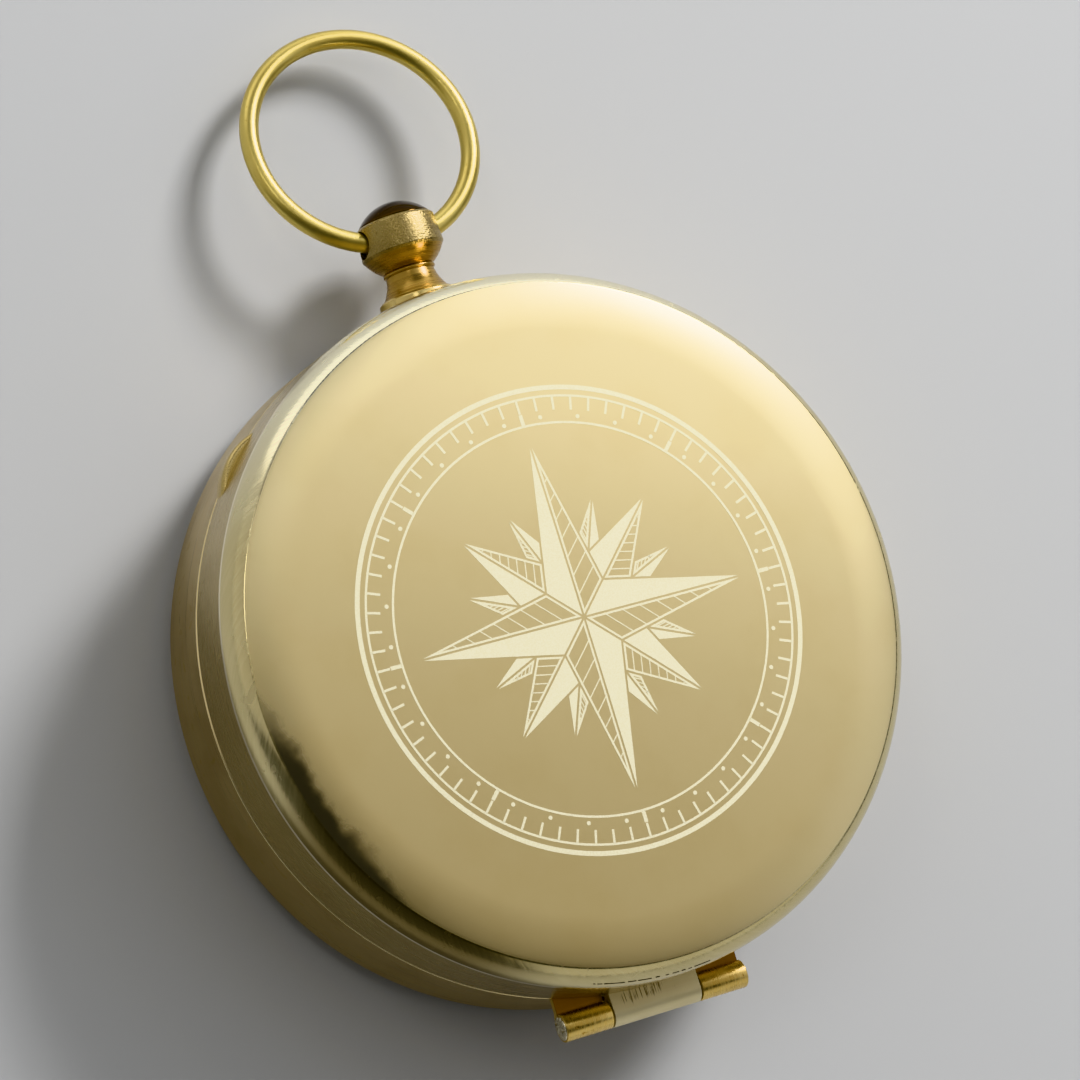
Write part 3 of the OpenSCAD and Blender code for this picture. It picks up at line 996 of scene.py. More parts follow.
# The case's brushed, patinated wall; its tone is also painted darker than the back's as painted shade.
WALL_PAINTED_SHADE = Metal(
    "case_brass", (0.60, 0.48, 0.26), (0.42, 0.31, 0.14), rough=0.34, spread=0.14, grain=Grain.AROUND_CASE,
    lines=7.0, depth=0.006, scratched=0.6, patina=0.5, streaks=0.25, name="case_wall_brushed_painted_shade")
EDGE = Metal(
    "case_brass", (0.84, 0.70, 0.40), (0.70, 0.55, 0.28), rough=0.20, grain=Grain.AROUND_CASE, lines=12.0,
    depth=0.002, name="case_edge_bright")
BACK = Metal(
    "case_brass", (0.76, 0.63, 0.34), (0.52, 0.40, 0.18), rough=0.26, spread=0.12, grain=Grain.AROUND_CASE,
    lines=7.0, depth=0.006, scratched=0.7, patina=0.5, name="case_back_turned")
BORE = Metal(
    "case_brass", (0.78, 0.64, 0.36), (0.58, 0.45, 0.22), rough=0.24, spread=0.1, grain=Grain.AROUND_CASE,
    lines=8.0, name="case_bore_turned")
SLEEVE = Metal(
    "sleeve_brass", (0.82, 0.68, 0.38), (0.62, 0.48, 0.24), rough=0.2, spread=0.1, grain=Grain.AROUND_CASE,
    lines=8.0)
WIRE = Metal("spring_wire", (0.80, 0.66, 0.36), (0.56, 0.44, 0.2), rough=0.2, scratched=0.4)
SILVERED = Metal(
    "dial_silvered", (0.84, 0.83, 0.79), (0.70, 0.68, 0.62), rough=0.42, spread=0.08,
    grain=Grain.AROUND_CASE, lines=20.0)
DEGREES = Metal(
    "degree_brass", (0.80, 0.66, 0.36), (0.62, 0.48, 0.24), rough=0.26, spread=0.1, grain=Grain.AROUND_CASE,
    lines=12.0)
SCREWS = Metal("screw_brass", (0.83, 0.70, 0.42), (0.60, 0.46, 0.22), rough=0.2, scratched=0.6)
POST = Metal(
    "post_brass", (0.80, 0.66, 0.36), (0.60, 0.46, 0.22), rough=0.22, spread=0.1, grain=Grain.AROUND_CASE)
STEEL = Metal(
    "pivot_steel", (0.62, 0.63, 0.65), (0.5, 0.5, 0.52), rough=0.16, grain=Grain.AROUND_CASE, lines=30.0,
    depth=0.002)
CAP = Metal(
    "cap_brass", (0.84, 0.70, 0.38), (0.66, 0.52, 0.25), rough=0.14, grain=Grain.AROUND_CASE, lines=18.0,
    depth=0.003)
CLIP = Metal("weight_brass", (0.80, 0.66, 0.36), (0.60, 0.46, 0.22), rough=0.26, scratched=0.5)
LEAF = ScuffedMetal(
    "lid_leaf_brass", (0.86, 0.77, 0.51), (0.76, 0.66, 0.40), rough=0.50, spread=0.08,
    grain=Grain.ALONG_HINGE, lines=8.0, depth=0.002, scratched=0.2)
KNUCKLE = Metal(
    "hinge_brass", (0.88, 0.66, 0.26), (0.44, 0.26, 0.06), rough=0.27, spread=0.12,
    grain=Grain.ACROSS_HINGE, lines=5.0, depth=0.006, scratched=0.3, pitted=0.9, streaks=0.15)
PIN = Metal(
    "hinge_pin_brass", (0.90, 0.83, 0.62), (0.40, 0.29, 0.12), rough=0.24, spread=0.12, lines=4.0,
    depth=0.03, scratched=0.6, pitted=0.9)
# The valley between the knuckles and the case, painted dark: painted shade.
VALLEY_PAINTED_SHADE = Metal(
    "hinge_brass", (0.30, 0.15, 0.04), (0.12, 0.06, 0.02), rough=0.34, spread=0.12, grain=Grain.ALONG_HINGE,
    lines=6.0, pitted=0.4, name="hinge_valley_painted_shade")
COLLAR = Metal(
    "collar_brass", (0.74, 0.57, 0.24), (0.46, 0.31, 0.09), rough=0.24, spread=0.1,
    grain=Grain.AROUND_PENDANT, lines=12.0, depth=0.003, scratched=0.5)
FLARE = Metal(
    "pendant_brass", (0.47, 0.31, 0.10), (0.24, 0.14, 0.04), rough=0.28, spread=0.12,
    grain=Grain.AROUND_PENDANT, lines=6.0, depth=0.003, scratched=0.4, streaks=0.3,
    name="pendant_stem_polish")
DRUM = Metal(
    "pendant_brass", (0.40, 0.31, 0.14), (0.24, 0.17, 0.07), rough=0.32, spread=0.16, lines=8.0,
    depth=0.035, patina=0.6, pitted=0.9, name="pendant_drum_satin")
# The cap's near-black tone is a painted dark reflection.
DOME_PAINTED_DARK_REFLECTION = Metal(
    "pendant_cap_brass", (0.05, 0.027, 0.008), (0.03, 0.016, 0.005), rough=0.12, spread=0.05,
    grain=Grain.AROUND_PENDANT, lines=9.0, depth=0.001)
BOW = Metal(
    "bow_brass", (0.72, 0.58, 0.20), (0.52, 0.38, 0.10), rough=0.32, spread=0.08, lines=8.0, depth=0.003,
    scratched=0.6, pitted=0.5)
FROSTED = Matt(
    "lid_brass", (0.97, 0.92, 0.68), (0.92, 0.86, 0.60), rough=0.62, metal=0.2,
    name="lid_frosted_engraving")
# Near-black dashes for the gap above the lid's leaf: painted shade.
GAP_PAINTED_SHADE = Matt("lid_leaf_brass", (0.02, 0.018, 0.015), (0.06, 0.05, 0.035), rough=0.5, name="leaf_gap_painted_shade")
INK = Matt("dial_silvered", (0.02, 0.02, 0.025), (0.05, 0.05, 0.055), rough=0.5, name="dial_ink")
FILLED = Matt("degree_brass", (0.02, 0.02, 0.02), (0.06, 0.05, 0.04), rough=0.5, name="degree_ink")
RED = Matt("dial_silvered", (0.42, 0.03, 0.02), (0.5, 0.05, 0.03), rough=0.5, name="dial_red_ink")
JEWEL = Matt("jewel", (0.50, 0.04, 0.09), (0.62, 0.08, 0.14), rough=0.08, coat=1.0, speckle=3.0)
CRYSTAL = Clear("crystal", (0.95, 0.98, 0.97))
NEEDLE = TwoTone("needle_steel", (0.02, 0.05, 0.20), (0.10, 0.06, 0.16), (0.66, 0.67, 0.69))


def chord_rise(width: float, height: float) -> float:
    """Gives the radius of an arc that crosses a width and rises by a height at its end."""
    return (width**2 + height**2) / (2 * height)


@dataclass
class Case:
    """The turned cup of the case: flat back, rounded lower edge and bright upper edge."""

    radius: float = 25.0
    height: float = 6.8
    rounding: float = 0.8
    back: float = 1.2
    bore: float = 23.6
    broken: float = 0.12
    crisp: float = 0.03

    def zone(self, face: bpy.types.MeshPolygon) -> int:
        """Tells which of the case's finishes a face has.

        Args:
            face: A face of the finished piece, in metres.

        Returns:
            0 for the wall, 1 for the upper edge, 2 for the back, 3 for the inside.
        """
        x, y, z = face.center / MM
        reach = math.hypot(x, y)
        if z > self.height - self.broken - self.crisp and reach > self.bore + self.broken:
            return 1
        if reach < self.bore + self.crisp and z > self.back / 2:
            return 3
        return 2 if reach < self.radius - self.rounding / 2 else 0

    def build(self) -> None:
        """Makes the cup."""
        outline = Section(0.0, 0.0).to(self.radius - self.rounding, 0.0)
        outline.arc_to(self.radius, self.rounding, self.rounding, steps=12)
        outline.to(self.radius, self.height - self.broken).to(self.radius - self.broken, self.height)
        outline.to(self.bore, self.height).to(self.bore, self.back).to(0.0, self.back)
        mesh = outline.turned()
        break_edges(mesh, self.crisp, segments=2)
        fit(mesh, "case_cup", Body.CASE, [WALL_PAINTED_SHADE, EDGE, BACK, BORE], "case_body", zone=self.zone)


@dataclass
class Lid:
    """The pressed lid: satin crowned face with a rolled border, polished shoulder, wall and thumb lip."""

    radius: float = 25.0
    seam: float = 6.85
    wall_top: float = 11.95
    wall: float = 1.2
    sheet: float = 0.8
    edge_r: float = 23.9
    edge_z: float = 14.1
    border: float = 3.5
    drop: float = 0.5
    crown: float = 0.386
    broken: float = 0.12
    crisp: float = 0.07
    corner: float = 0.22
    lip_out: float = 0.6
    lip_length: float = 5.2
    lip_height: float = 1.3
    lip_bevel: float = 0.35
    lip_angle: float = 137.0

    @property
    def border_r(self) -> float:
        """Radius at which the border starts to roll over."""
        return self.edge_r - self.border

    @property
    def crown_bend(self) -> float:
        """Radius of the sphere that the face follows inside the border."""
        return chord_rise(self.border_r, self.crown)

    @property
    def roll_bend(self) -> float:
        """Radius of the border's arc, which leaves the face without a break."""
        fall = math.atan(self.drop / self.border) - math.asin(self.border_r / self.crown_bend)
        return math.hypot(self.border, self.drop) / (2 * math.sin(fall))

    def face_height(self, x: float, y: float) -> float:
        """Gives the height of the lid's face.

        Args:
            x: Place across.
            y: Place towards the pendant.

        Returns:
            The height above the back.
        """
        reach = math.hypot(x, y)
        border_z = self.edge_z + self.drop
        if reach < self.border_r:
            return border_z + self.crown - self.crown_bend + math.sqrt(self.crown_bend**2 - reach**2)
        middle = self.border_r * (1 - self.roll_bend / self.crown_bend)
        low = self.roll_bend * math.sqrt(1 - (self.border_r / self.crown_bend) ** 2)
        return border_z - low + math.sqrt(self.roll_bend**2 - (reach - middle) ** 2)

    def shell(self) -> Net:
        """Turns the pressed shell, outside and inside.

        Returns:
            The shell's mesh.
        """
        width, rise = self.radius - self.edge_r, self.edge_z - self.wall_top
        bend = chord_rise(rise, width)
        inner_bend, middle = bend - self.wall, self.radius - bend
        border_z, inner_roll = self.edge_z + self.drop, self.roll_bend - self.sheet
        lean = self.border_r / self.crown_bend
        level = math.sqrt(1 - lean**2)
        roll_r, roll_z = self.border_r - self.roll_bend * lean, border_z - self.roll_bend * level
        inner_r, inner_z = self.border_r - self.sheet * lean, border_z - self.sheet * level
        outline = Section(0.0, border_z + self.crown)
        outline.arc_to(self.border_r, border_z, -self.crown_bend, steps=22)
        outline.arc_to(self.edge_r, self.edge_z, -self.roll_bend, steps=10)
        outline.arc_to(self.radius, self.wall_top, -bend, steps=20)
        outline.to(self.radius, self.seam + self.broken).to(self.radius - self.broken, self.seam)
        outline.to(self.radius - self.wall, self.seam).to(self.radius - self.wall, self.wall_top)
        outline.arc_to(middle, self.wall_top + inner_bend, inner_bend, steps=12)
        outline.to(middle, roll_z + math.sqrt(inner_roll**2 - (middle - roll_r) ** 2))
        outline.arc_to(inner_r, inner_z, inner_roll, steps=8)
        outline.arc_to(0.0, border_z + self.crown - self.sheet, self.crown_bend - self.sheet, steps=20)
        mesh = outline.turned()
        break_edges(mesh, self.crisp, degrees=15.0)
        return mesh

    def zone(self, face: bpy.types.MeshPolygon) -> int:
        """Tells which of the lid's finishes a face has.

        Args:
            face: A face of the finished piece, in metres.

        Returns:
            0 for the face, 1 for the shoulder, 2 for the wall, 3 for the inside, 4 for the corner with a
            painted highlight.
        """
        x, y, z = face.center / MM
        reach = math.hypot(x, y)
        outward = face.normal.x * x + face.normal.y * y
        under = reach < self.radius - self.wall + self.crisp and face.normal.z < 0
        if under or z < self.seam + self.broken:
            return 3 if reach < self.radius - self.broken * 2 else 2
        if outward < -MM or face.normal.z < -MM:
            return 3
        if z > self.face_height(x, y) - self.crisp / 4 and reach < self.edge_r - self.crisp:
            return 0
        # The thin band just above the wall's top gets the painted highlight.
        if 0 < z - self.wall_top < self.corner:
            return 4
        return 1 if z > self.wall_top else 2

    def lip(self) -> Net:
        """Cuts the thumb lip from a small disc and sets it on the rim.

        Returns:
            The lip's mesh.
        """
        sag = self.radius + self.lip_out - math.sqrt(self.radius**2 - self.lip_length**2 / 4)
        bend = chord_rise(self.lip_length / 2, sag)
        mesh = bmesh.new()
        bmesh.ops.create_cone(mesh, cap_ends=True, segments=160, radius1=bend, radius2=bend,
                              depth=self.lip_height)
        for up, width in ((1, self.lip_bevel), (-1, self.lip_bevel / 4)):
            rim = [e for e in sharp_edges(mesh, 60.0) if all(v.co.z * up > 0 for v in e.verts)]
            bevel(mesh, rim, width, segments=5)
        shift(mesh, self.radius + self.lip_out - bend, 0.0, self.seam + self.lip_height / 2)
        cut = bmesh.ops.bisect_plane(mesh, geom=mesh.verts[:] + mesh.edges[:] + mesh.faces[:],
                                     plane_co=(self.radius - self.wall / 2, 0.0, 0.0),
                                     plane_no=(-1.0, 0.0, 0.0), clear_outer=True)
        rim = [e for e in cut["geom_cut"] if isinstance(e, bmesh.types.BMEdge)]
        bmesh.ops.contextual_create(mesh, geom=rim)
        turn(mesh, self.lip_angle, "Z")
        bmesh.ops.recalc_face_normals(mesh, faces=mesh.faces)
        return mesh

    def build(self) -> None:
        """Makes the shell and the lip."""
        finishes = [CHAMPAGNE, POLISHED_PAINTED_SIDES, RIM_PAINTED_SHADE, INSIDE, CORNER_PAINTED_HIGHLIGHT]
        fit(self.shell(), "lid_shell", Body.LID, finishes, "lid", zone=self.zone)
        fit(self.lip(), "lid_thumb_lip", Body.LID, [LIP])


def polar(radius: float, degrees: float, height: float = 0.0) -> Vector:
    """Gives a point by its radius, its angle and its height."""
    angle = math.radians(degrees)
    return Vector((radius * math.cos(angle), radius * math.sin(angle), height))


def about_z(degrees: float) -> Matrix:
    """Gives a turn about the middle of the case."""
    return Matrix.Rotation(math.radians(degrees), 4, "Z")


def draw_band(mesh: Net, radius: float, width: float) -> None:
    """Draws a flat ring.

    Args:
        mesh: The mesh that grows.
        radius: Radius of the ring's middle.
        width: Width of the ring.
    """
    edges = []
    for edge_radius in (radius - width / 2, radius + width / 2):
        made = bmesh.ops.create_circle(mesh, segments=TURN_STEPS, radius=edge_radius)
        edges += {e for v in made["verts"] for e in v.link_edges}
    bmesh.ops.bridge_loops(mesh, edges=edges)


def draw_marks(mesh: Net, inner: float, outer: float, width: float, count: int) -> None:
    """Draws radial marks, evenly round.

    Args:
        mesh: The mesh that grows.
        inner: Their inner radius.
        outer: Their outer radius.
        width: Their width.
        count: How many there are.
    """
    shape = (Matrix.Translation(((inner + outer) / 2, 0.0, 0.0))
             @ Matrix.Diagonal((outer - inner, width, 1.0, 1.0)))
    for index in range(count):
        bmesh.ops.create_grid(mesh, x_segments=1, y_segments=1, size=0.5,
                              matrix=about_z(index * 360.0 / count) @ shape)


def draw_beads(mesh: Net, radius: float, size: float, count: int) -> None:
    """Draws small discs, evenly round.

    Args:
        mesh: The mesh that grows.
        radius: Radius of the ring that they lie on.
        size: Radius of a disc.
        count: How many there are.
    """
    for index in range(count):
        at = Matrix.Translation(polar(radius, (index + 0.5) * 360.0 / count))
        bmesh.ops.create_circle(mesh, cap_ends=True, segments=14, radius=size, matrix=at)


def draw_line(mesh: Net, start: Vector, end: Vector, width: float) -> None:
    """Draws a straight flat line.

    Args:
        mesh: The mesh that grows.
        start: Where it starts.
        end: Where it ends.
        width: Its width.
    """
    along = end - start
    shape = Matrix.Diagonal((along.length, width, 1.0, 1.0))
    heading = Matrix.Rotation(math.atan2(along.y, along.x), 4, "Z")
    bmesh.ops.create_grid(mesh, x_segments=1, y_segments=1, size=0.5,
                          matrix=Matrix.Translation((start + end) / 2) @ heading @ shape)


def raise_art(mesh: Net, thickness: float) -> Net:
    """Gives flat artwork a thickness below Z = 0.

    Args:
        mesh: The flat artwork.
        thickness: The thickness.

    Returns:
        The same mesh, closed.
    """
    for face in mesh.faces:
        face.normal_update()
        if face.normal.z < 0:
            face.normal_flip()
    bmesh.ops.solidify(mesh, geom=mesh.faces[:], thickness=thickness)
    shift(mesh, 0.0, 0.0, -max(v.co.z for v in mesh.verts))
    bmesh.ops.recalc_face_normals(mesh, faces=mesh.faces)
    return mesh


@dataclass(frozen=True)
class WindRose:
    """A sixteen-ray wind rose: one side of each ray is solid, the other is drawn in lines."""

    long_ray: float = 12.9
    cross_ray: float = 10.2
    small_ray: float = 8.9
    waist: float = 3.1
    line: float = 0.17
    hatches: int = 9
    spread: float = 8.0
    margin: float = 0.45
    frame: float = 1.3

    @staticmethod
    def crossing(first: Vector, second: Vector, degrees: float) -> Vector:
        """Finds where a line meets a ray from the middle.

        Args:
            first: One point of the line.
            second: Another point of the line.
            degrees: Angle of the ray.

        Returns:
            The meeting point.
        """
        side = polar(1.0, degrees + 90.0)
        share = first.dot(side) / (first - second).dot(side)
        return first.lerp(second, share)

    def inset(self, corners: list[Vector], width: float) -> list[Vector]:
        """Moves a triangle's sides inwards by a width.

        Args:
            corners: The three corners.
            width: The width.

        Returns:
            The smaller triangle's corners.
        """
        sides = [(corners[i - 1] - corners[i - 2]).length for i in range(3)]
        middle = sum((c * s for c, s in zip(corners, sides)), Vector()) / sum(sides)
        area = (corners[1] - corners[0]).cross(corners[2] - corners[0]).length / 2
        share = max(0.0, 1 - width * sum(sides) / (2 * area))
        return [middle + (c - middle) * share for c in corners]

    def facet(self, mesh: Net, corners: list[Vector], solid: bool) -> None:
        """Draws one facet of a ray, whose last corner is the ray's tip.

        Args:
            mesh: The mesh that grows.
            corners: The facet's three corners.
            solid: Whether it is filled or drawn in lines.
        """
        outer = self.inset(corners, self.line * self.margin)
        if solid:
            mesh.faces.new([mesh.verts.new(c) for c in outer])
            return
        edges = []
        for ring in (outer, self.inset(corners, self.line * self.frame)):
            points = [mesh.verts.new(c) for c in ring]
            edges += [mesh.edges.new((points[i - 1], points[i])) for i in range(3)]
        bmesh.ops.bridge_loops(mesh, edges=edges)
        for index in range(1, self.hatches):
            start, end = (side.lerp(outer[2], index / self.hatches) for side in outer[:2])
            draw_line(mesh, start, end, self.line * self.margin)

    def draw(self) -> Net:
        """Draws the rose flat.

        Returns:
            The flat mesh.
        """
        mesh = bmesh.new()
        middle = Vector((0.0, 0.0, 0.0))
        for side in (1, -1):
            tip, inner = polar(self.long_ray, 0.0), polar(self.waist, 45.0 * side)
            step = self.crossing(tip, inner, 22.5 * side)
            cross_tip = polar(self.cross_ray, 45.0 * side)
            notch = self.crossing(tip, inner, (22.5 - self.spread) * side)
            hook = self.crossing(cross_tip, step, (22.5 + self.spread) * side)
            small_tip = polar(self.small_ray, 22.5 * side)
            self.facet(mesh, [middle, inner, tip], side > 0)
            self.facet(mesh, [inner, step, cross_tip], side < 0)
            self.facet(mesh, [step, notch, small_tip], side > 0)
            self.facet(mesh, [step, hook, small_tip], side < 0)
        bmesh.ops.spin(mesh, geom=mesh.verts[:] + mesh.edges[:] + mesh.faces[:], cent=(0.0, 0.0, 0.0),
                       axis=(0.0, 0.0, 1.0), angle=math.radians(270.0), steps=3, use_duplicate=True)
        return mesh


@dataclass
class Engraving:
    """A wind rose in a ring of ticks, frosted into the lid's face."""

    lid: Lid
    rings: tuple[tuple[float, float], ...] = ((13.7, 0.16), (15.6, 0.16), (16.2, 0.34))
    line: float = 0.17
    ticks: int = 72
    tick_gaps: tuple[float, float] = (0.9, 0.05)
    long_ticks: int = 8
    long_reach: tuple[float, float] = (0.05, 0.85)
    bold: float = 1.6
    beads: int = 32
    bead_gap: float = 0.45
    bead_r: float = 0.15
    proud: float = 0.01
    sunk: float = 0.03
    tile: float = 2.0

    def drape(self, mesh: Net) -> Net:
        """Gives flat artwork a thickness and lays it on the crowned face.

        Args:
            mesh: The flat artwork.

        Returns:
            The same mesh, draped.
        """
        reach = int(self.lid.edge_r // self.tile)
        for axis in ((1.0, 0.0, 0.0), (0.0, 1.0, 0.0)):
            for index in range(-reach, reach + 1):
                bmesh.ops.bisect_plane(mesh, geom=mesh.verts[:] + mesh.edges[:] + mesh.faces[:],
                                       plane_co=Vector(axis) * index * self.tile, plane_no=axis)
        raise_art(mesh, self.sunk + self.proud)
        for vert in mesh.verts:
            vert.co.z += self.lid.face_height(vert.co.x, vert.co.y) + self.proud
        return mesh

    def build(self) -> None:
        """Makes the rose, the rings, the ticks and the beads."""
        fit(self.drape(WindRose().draw()), "engraved_rose", Body.LID, [FROSTED])
        rings = bmesh.new()
        for radius, width in self.rings:
            draw_band(rings, radius, width)
        fit(self.drape(rings), "engraved_rings", Body.LID, [FROSTED])
        ticks = bmesh.new()
        first, second = self.rings[0][0], self.rings[1][0]
        draw_marks(ticks, first + self.tick_gaps[0], second - self.tick_gaps[1], self.line, self.ticks)
        start, end = (first + gap for gap in self.long_reach)
        draw_marks(ticks, start, end, self.line * self.bold, self.long_ticks)
        draw_beads(ticks, first + self.bead_gap, self.bead_r, self.beads)
        fit(self.drape(ticks), "engraved_ticks", Body.LID, [FROSTED])


@dataclass(frozen=True)
class Leaf:
    """The section of a hinge leaf: which way it goes, where it meets its wall, and where its roll ends."""

    up: int
    wall_y: float
    reach: float
    mouth: float
    begin: float
    end: float
    corner_y: float = -24.95


@dataclass
class Hinge:
    """The rolled hinge: a pale middle knuckle on the lid, two golden ones on the body, and the pin."""

    lid_leaf: Leaf = Leaf(up=1, wall_y=-24.70, reach=0.95, mouth=0.05, begin=8.0, end=352.0)
    body_leaf: Leaf = Leaf(up=-1, wall_y=-23.94, reach=0.55, mouth=0.02, begin=4.0, end=354.0)
    axis_y: float = -26.1
    axis_z: float = 6.8
    outer: float = 0.998
    bore: float = 0.67
    head_r: float = 0.86
    length: float = 14.2
    middle: float = 6.8
    gap: float = 0.1
    notch: float = 0.25
    edge: float = 0.05
    pin_r: float = 0.65
    pin_show: float = 0.1
    head_edge: tuple[tuple[float, float], ...] = ((0.3, 0.0), (0.05, 0.03), (0.0, 0.08))
    head_skin: float = 0.05
    dent: float = 0.14
    dents_per_mm: float = 3.5
    strip: tuple[float, float, float] = (-25.43, -24.6, 0.38)
    cut_depth: float = 6.0
    # Place, size and swelling of the dashes of painted shade in the gap.
    grime_r: float = 24.775
    grime_z: float = 13.0
    grime_size: tuple[float, float] = (0.07, 0.10)
    grime_rise: float = 0.04
    grime_swell: tuple[float, float] = (0.7, 8.0)
    dashes: tuple[tuple[float, float], ...] = (
        (-105.0, 0.16), (-104.1, 0.34), (-101.6, 1.5), (-98.6, 0.6), (-96.4, 1.0), (-94.2, 0.3),
        (-92.5, 0.25), (-91.0, 0.5), (-89.6, 0.3), (-88.4, 0.26), (-86.6, 0.9), (-85.2, 0.4),
    )

    def rolled(self, leaf: Leaf, low: float, high: float) -> Net:
        """Rolls a leaf round the pin and draws it out along the hinge.

        Args:
            leaf: The leaf's section.
            low: Lowest X.
            high: Highest X.

        Returns:
            The mesh.
        """
        out, up = leaf.corner_y - self.axis_y, leaf.reach
        apart = math.hypot(out, up)
        touch = math.degrees(math.atan2(up, out) + math.acos(self.outer / apart))
        outline = Section(leaf.wall_y, self.axis_z + leaf.up * leaf.mouth)
        outline.to(leaf.wall_y, self.axis_z + leaf.up * up).to(leaf.corner_y, self.axis_z + leaf.up * up)
        at = polar(self.outer, touch)
        outline.to(self.axis_y + at.x, self.axis_z + leaf.up * at.y)
        outline.arc(self.axis_y, self.axis_z, leaf.up * (leaf.end - touch), steps=60)
        at = polar(self.bore, leaf.end)
        outline.to(self.axis_y + at.x, self.axis_z + leaf.up * at.y)
        outline.arc(self.axis_y, self.axis_z, -leaf.up * (leaf.end - leaf.begin), steps=60)
        return outline.along_x(low, high)

    def pin(self) -> Net:
        """Turns the pin and hammers both of its ends.

        Returns:
            The mesh.
        """
        end = self.length / 2 + self.pin_show
        head = [(self.head_r - inset, end - down) for inset, down in self.head_edge]
        head += [(self.head_r, self.length / 2), (self.pin_r, self.length / 2)]
        outline = Section(0.0, -end)
        for radius, height in head:
            outline.to(radius, -height)
        for radius, height in reversed(head):
            outline.to(radius, height)
        mesh = outline.to(0.0, end).turned(steps=48)
        skin = end - self.head_skin
        tips = [e for e in mesh.edges if all(abs(v.co.z) > skin for v in e.verts)]
        bmesh.ops.subdivide_edges(mesh, edges=tips, cuts=4, use_grid_fill=True)
        for vert in mesh.verts:
            if abs(vert.co.z) > skin:
                dent = self.dent * max(0.0, noise.noise(vert.co * self.dents_per_mm))
                vert.co.z -= math.copysign(dent, vert.co.z)
        turn(mesh, 90.0, "Y")
        shift(mesh, 0.0, self.axis_y, self.axis_z)
        return mesh

    def bridge(self) -> Net:
        """Lays the body leaf's strip below the lid's knuckle.

        Returns:
            The mesh.
        """
        mesh = bmesh.new()
        outside, inside, thick = self.strip
        top = self.axis_z - self.outer - self.notch - self.edge
        place = Matrix.Translation((0.0, (outside + inside) / 2, top - thick / 2))
        add_box(mesh, place, (self.middle + 4 * self.gap, inside - outside, thick))
        return mesh

    def zone(self, face: bpy.types.MeshPolygon) -> int:
        """Tells which faces of the body's leaf lie in the valley next to the case, which is painted dark as
        shade.

        Args:
            face: A face of the finished piece, in metres.

        Returns:
            0 for the knuckles, 1 for the valley.
        """
        return 1 if face.center.y > (self.axis_y + self.outer) * MM else 0

    def grime(self) -> Net:
        """Lays near-black dashes of painted shade for the gap where the lid's wall meets its shoulder,
        above the leaf.

        Returns:
            The mesh.
        """
        mesh = bmesh.new()
        width, height = self.grime_size
        least, swell = self.grime_swell
        for angle, length in self.dashes:
            rise = self.grime_rise * noise.noise(Vector((angle, 0.0, 0.0)))
            place = about_z(angle) @ Matrix.Translation((self.grime_r, 0.0, self.grime_z + rise))
            add_box(mesh, place, (width, length, height * (least + swell * abs(rise))))
        break_edges(mesh, width / 4, degrees=40.0)
        return mesh

    def body_knuckles(self) -> Net:
        """Rolls the body's leaf and cuts the gap for the lid's knuckle into it.

        Returns:
            The mesh, with the strip below the gap.
        """
        cutter = bmesh.new()
        gap = (self.middle + 2 * self.gap, self.cut_depth, 2 * (self.outer + self.notch))
        add_box(cutter, Matrix.Translation((0.0, self.axis_y, self.axis_z)), gap)
        mesh = carve(self.rolled(self.body_leaf, -self.length / 2, self.length / 2), cutter)
        break_edges(mesh, self.edge, degrees=40.0)
        return add_to(mesh, self.bridge())

    def build(self) -> None:
        """Makes the two leaves with their knuckles, the pin and the painted shade of the gap above them."""
        knuckle = self.rolled(self.lid_leaf, -self.middle / 2, self.middle / 2)
        break_edges(knuckle, self.edge, degrees=40.0)
        fit(knuckle, "lid_knuckle", Body.LID, [LEAF], "lid_hinge_leaf")
        fit(self.body_knuckles(), "body_knuckles", Body.CASE, [KNUCKLE, VALLEY_PAINTED_SHADE], "body_hinge_leaf",
            zone=self.zone)
        fit(self.pin(), "hinge_pin_rivet", Body.CASE, [PIN], "hinge_pin")
        fit(self.grime(), "lid_leaf_gap_painted_shade", Body.LID, [GAP_PAINTED_SHADE])


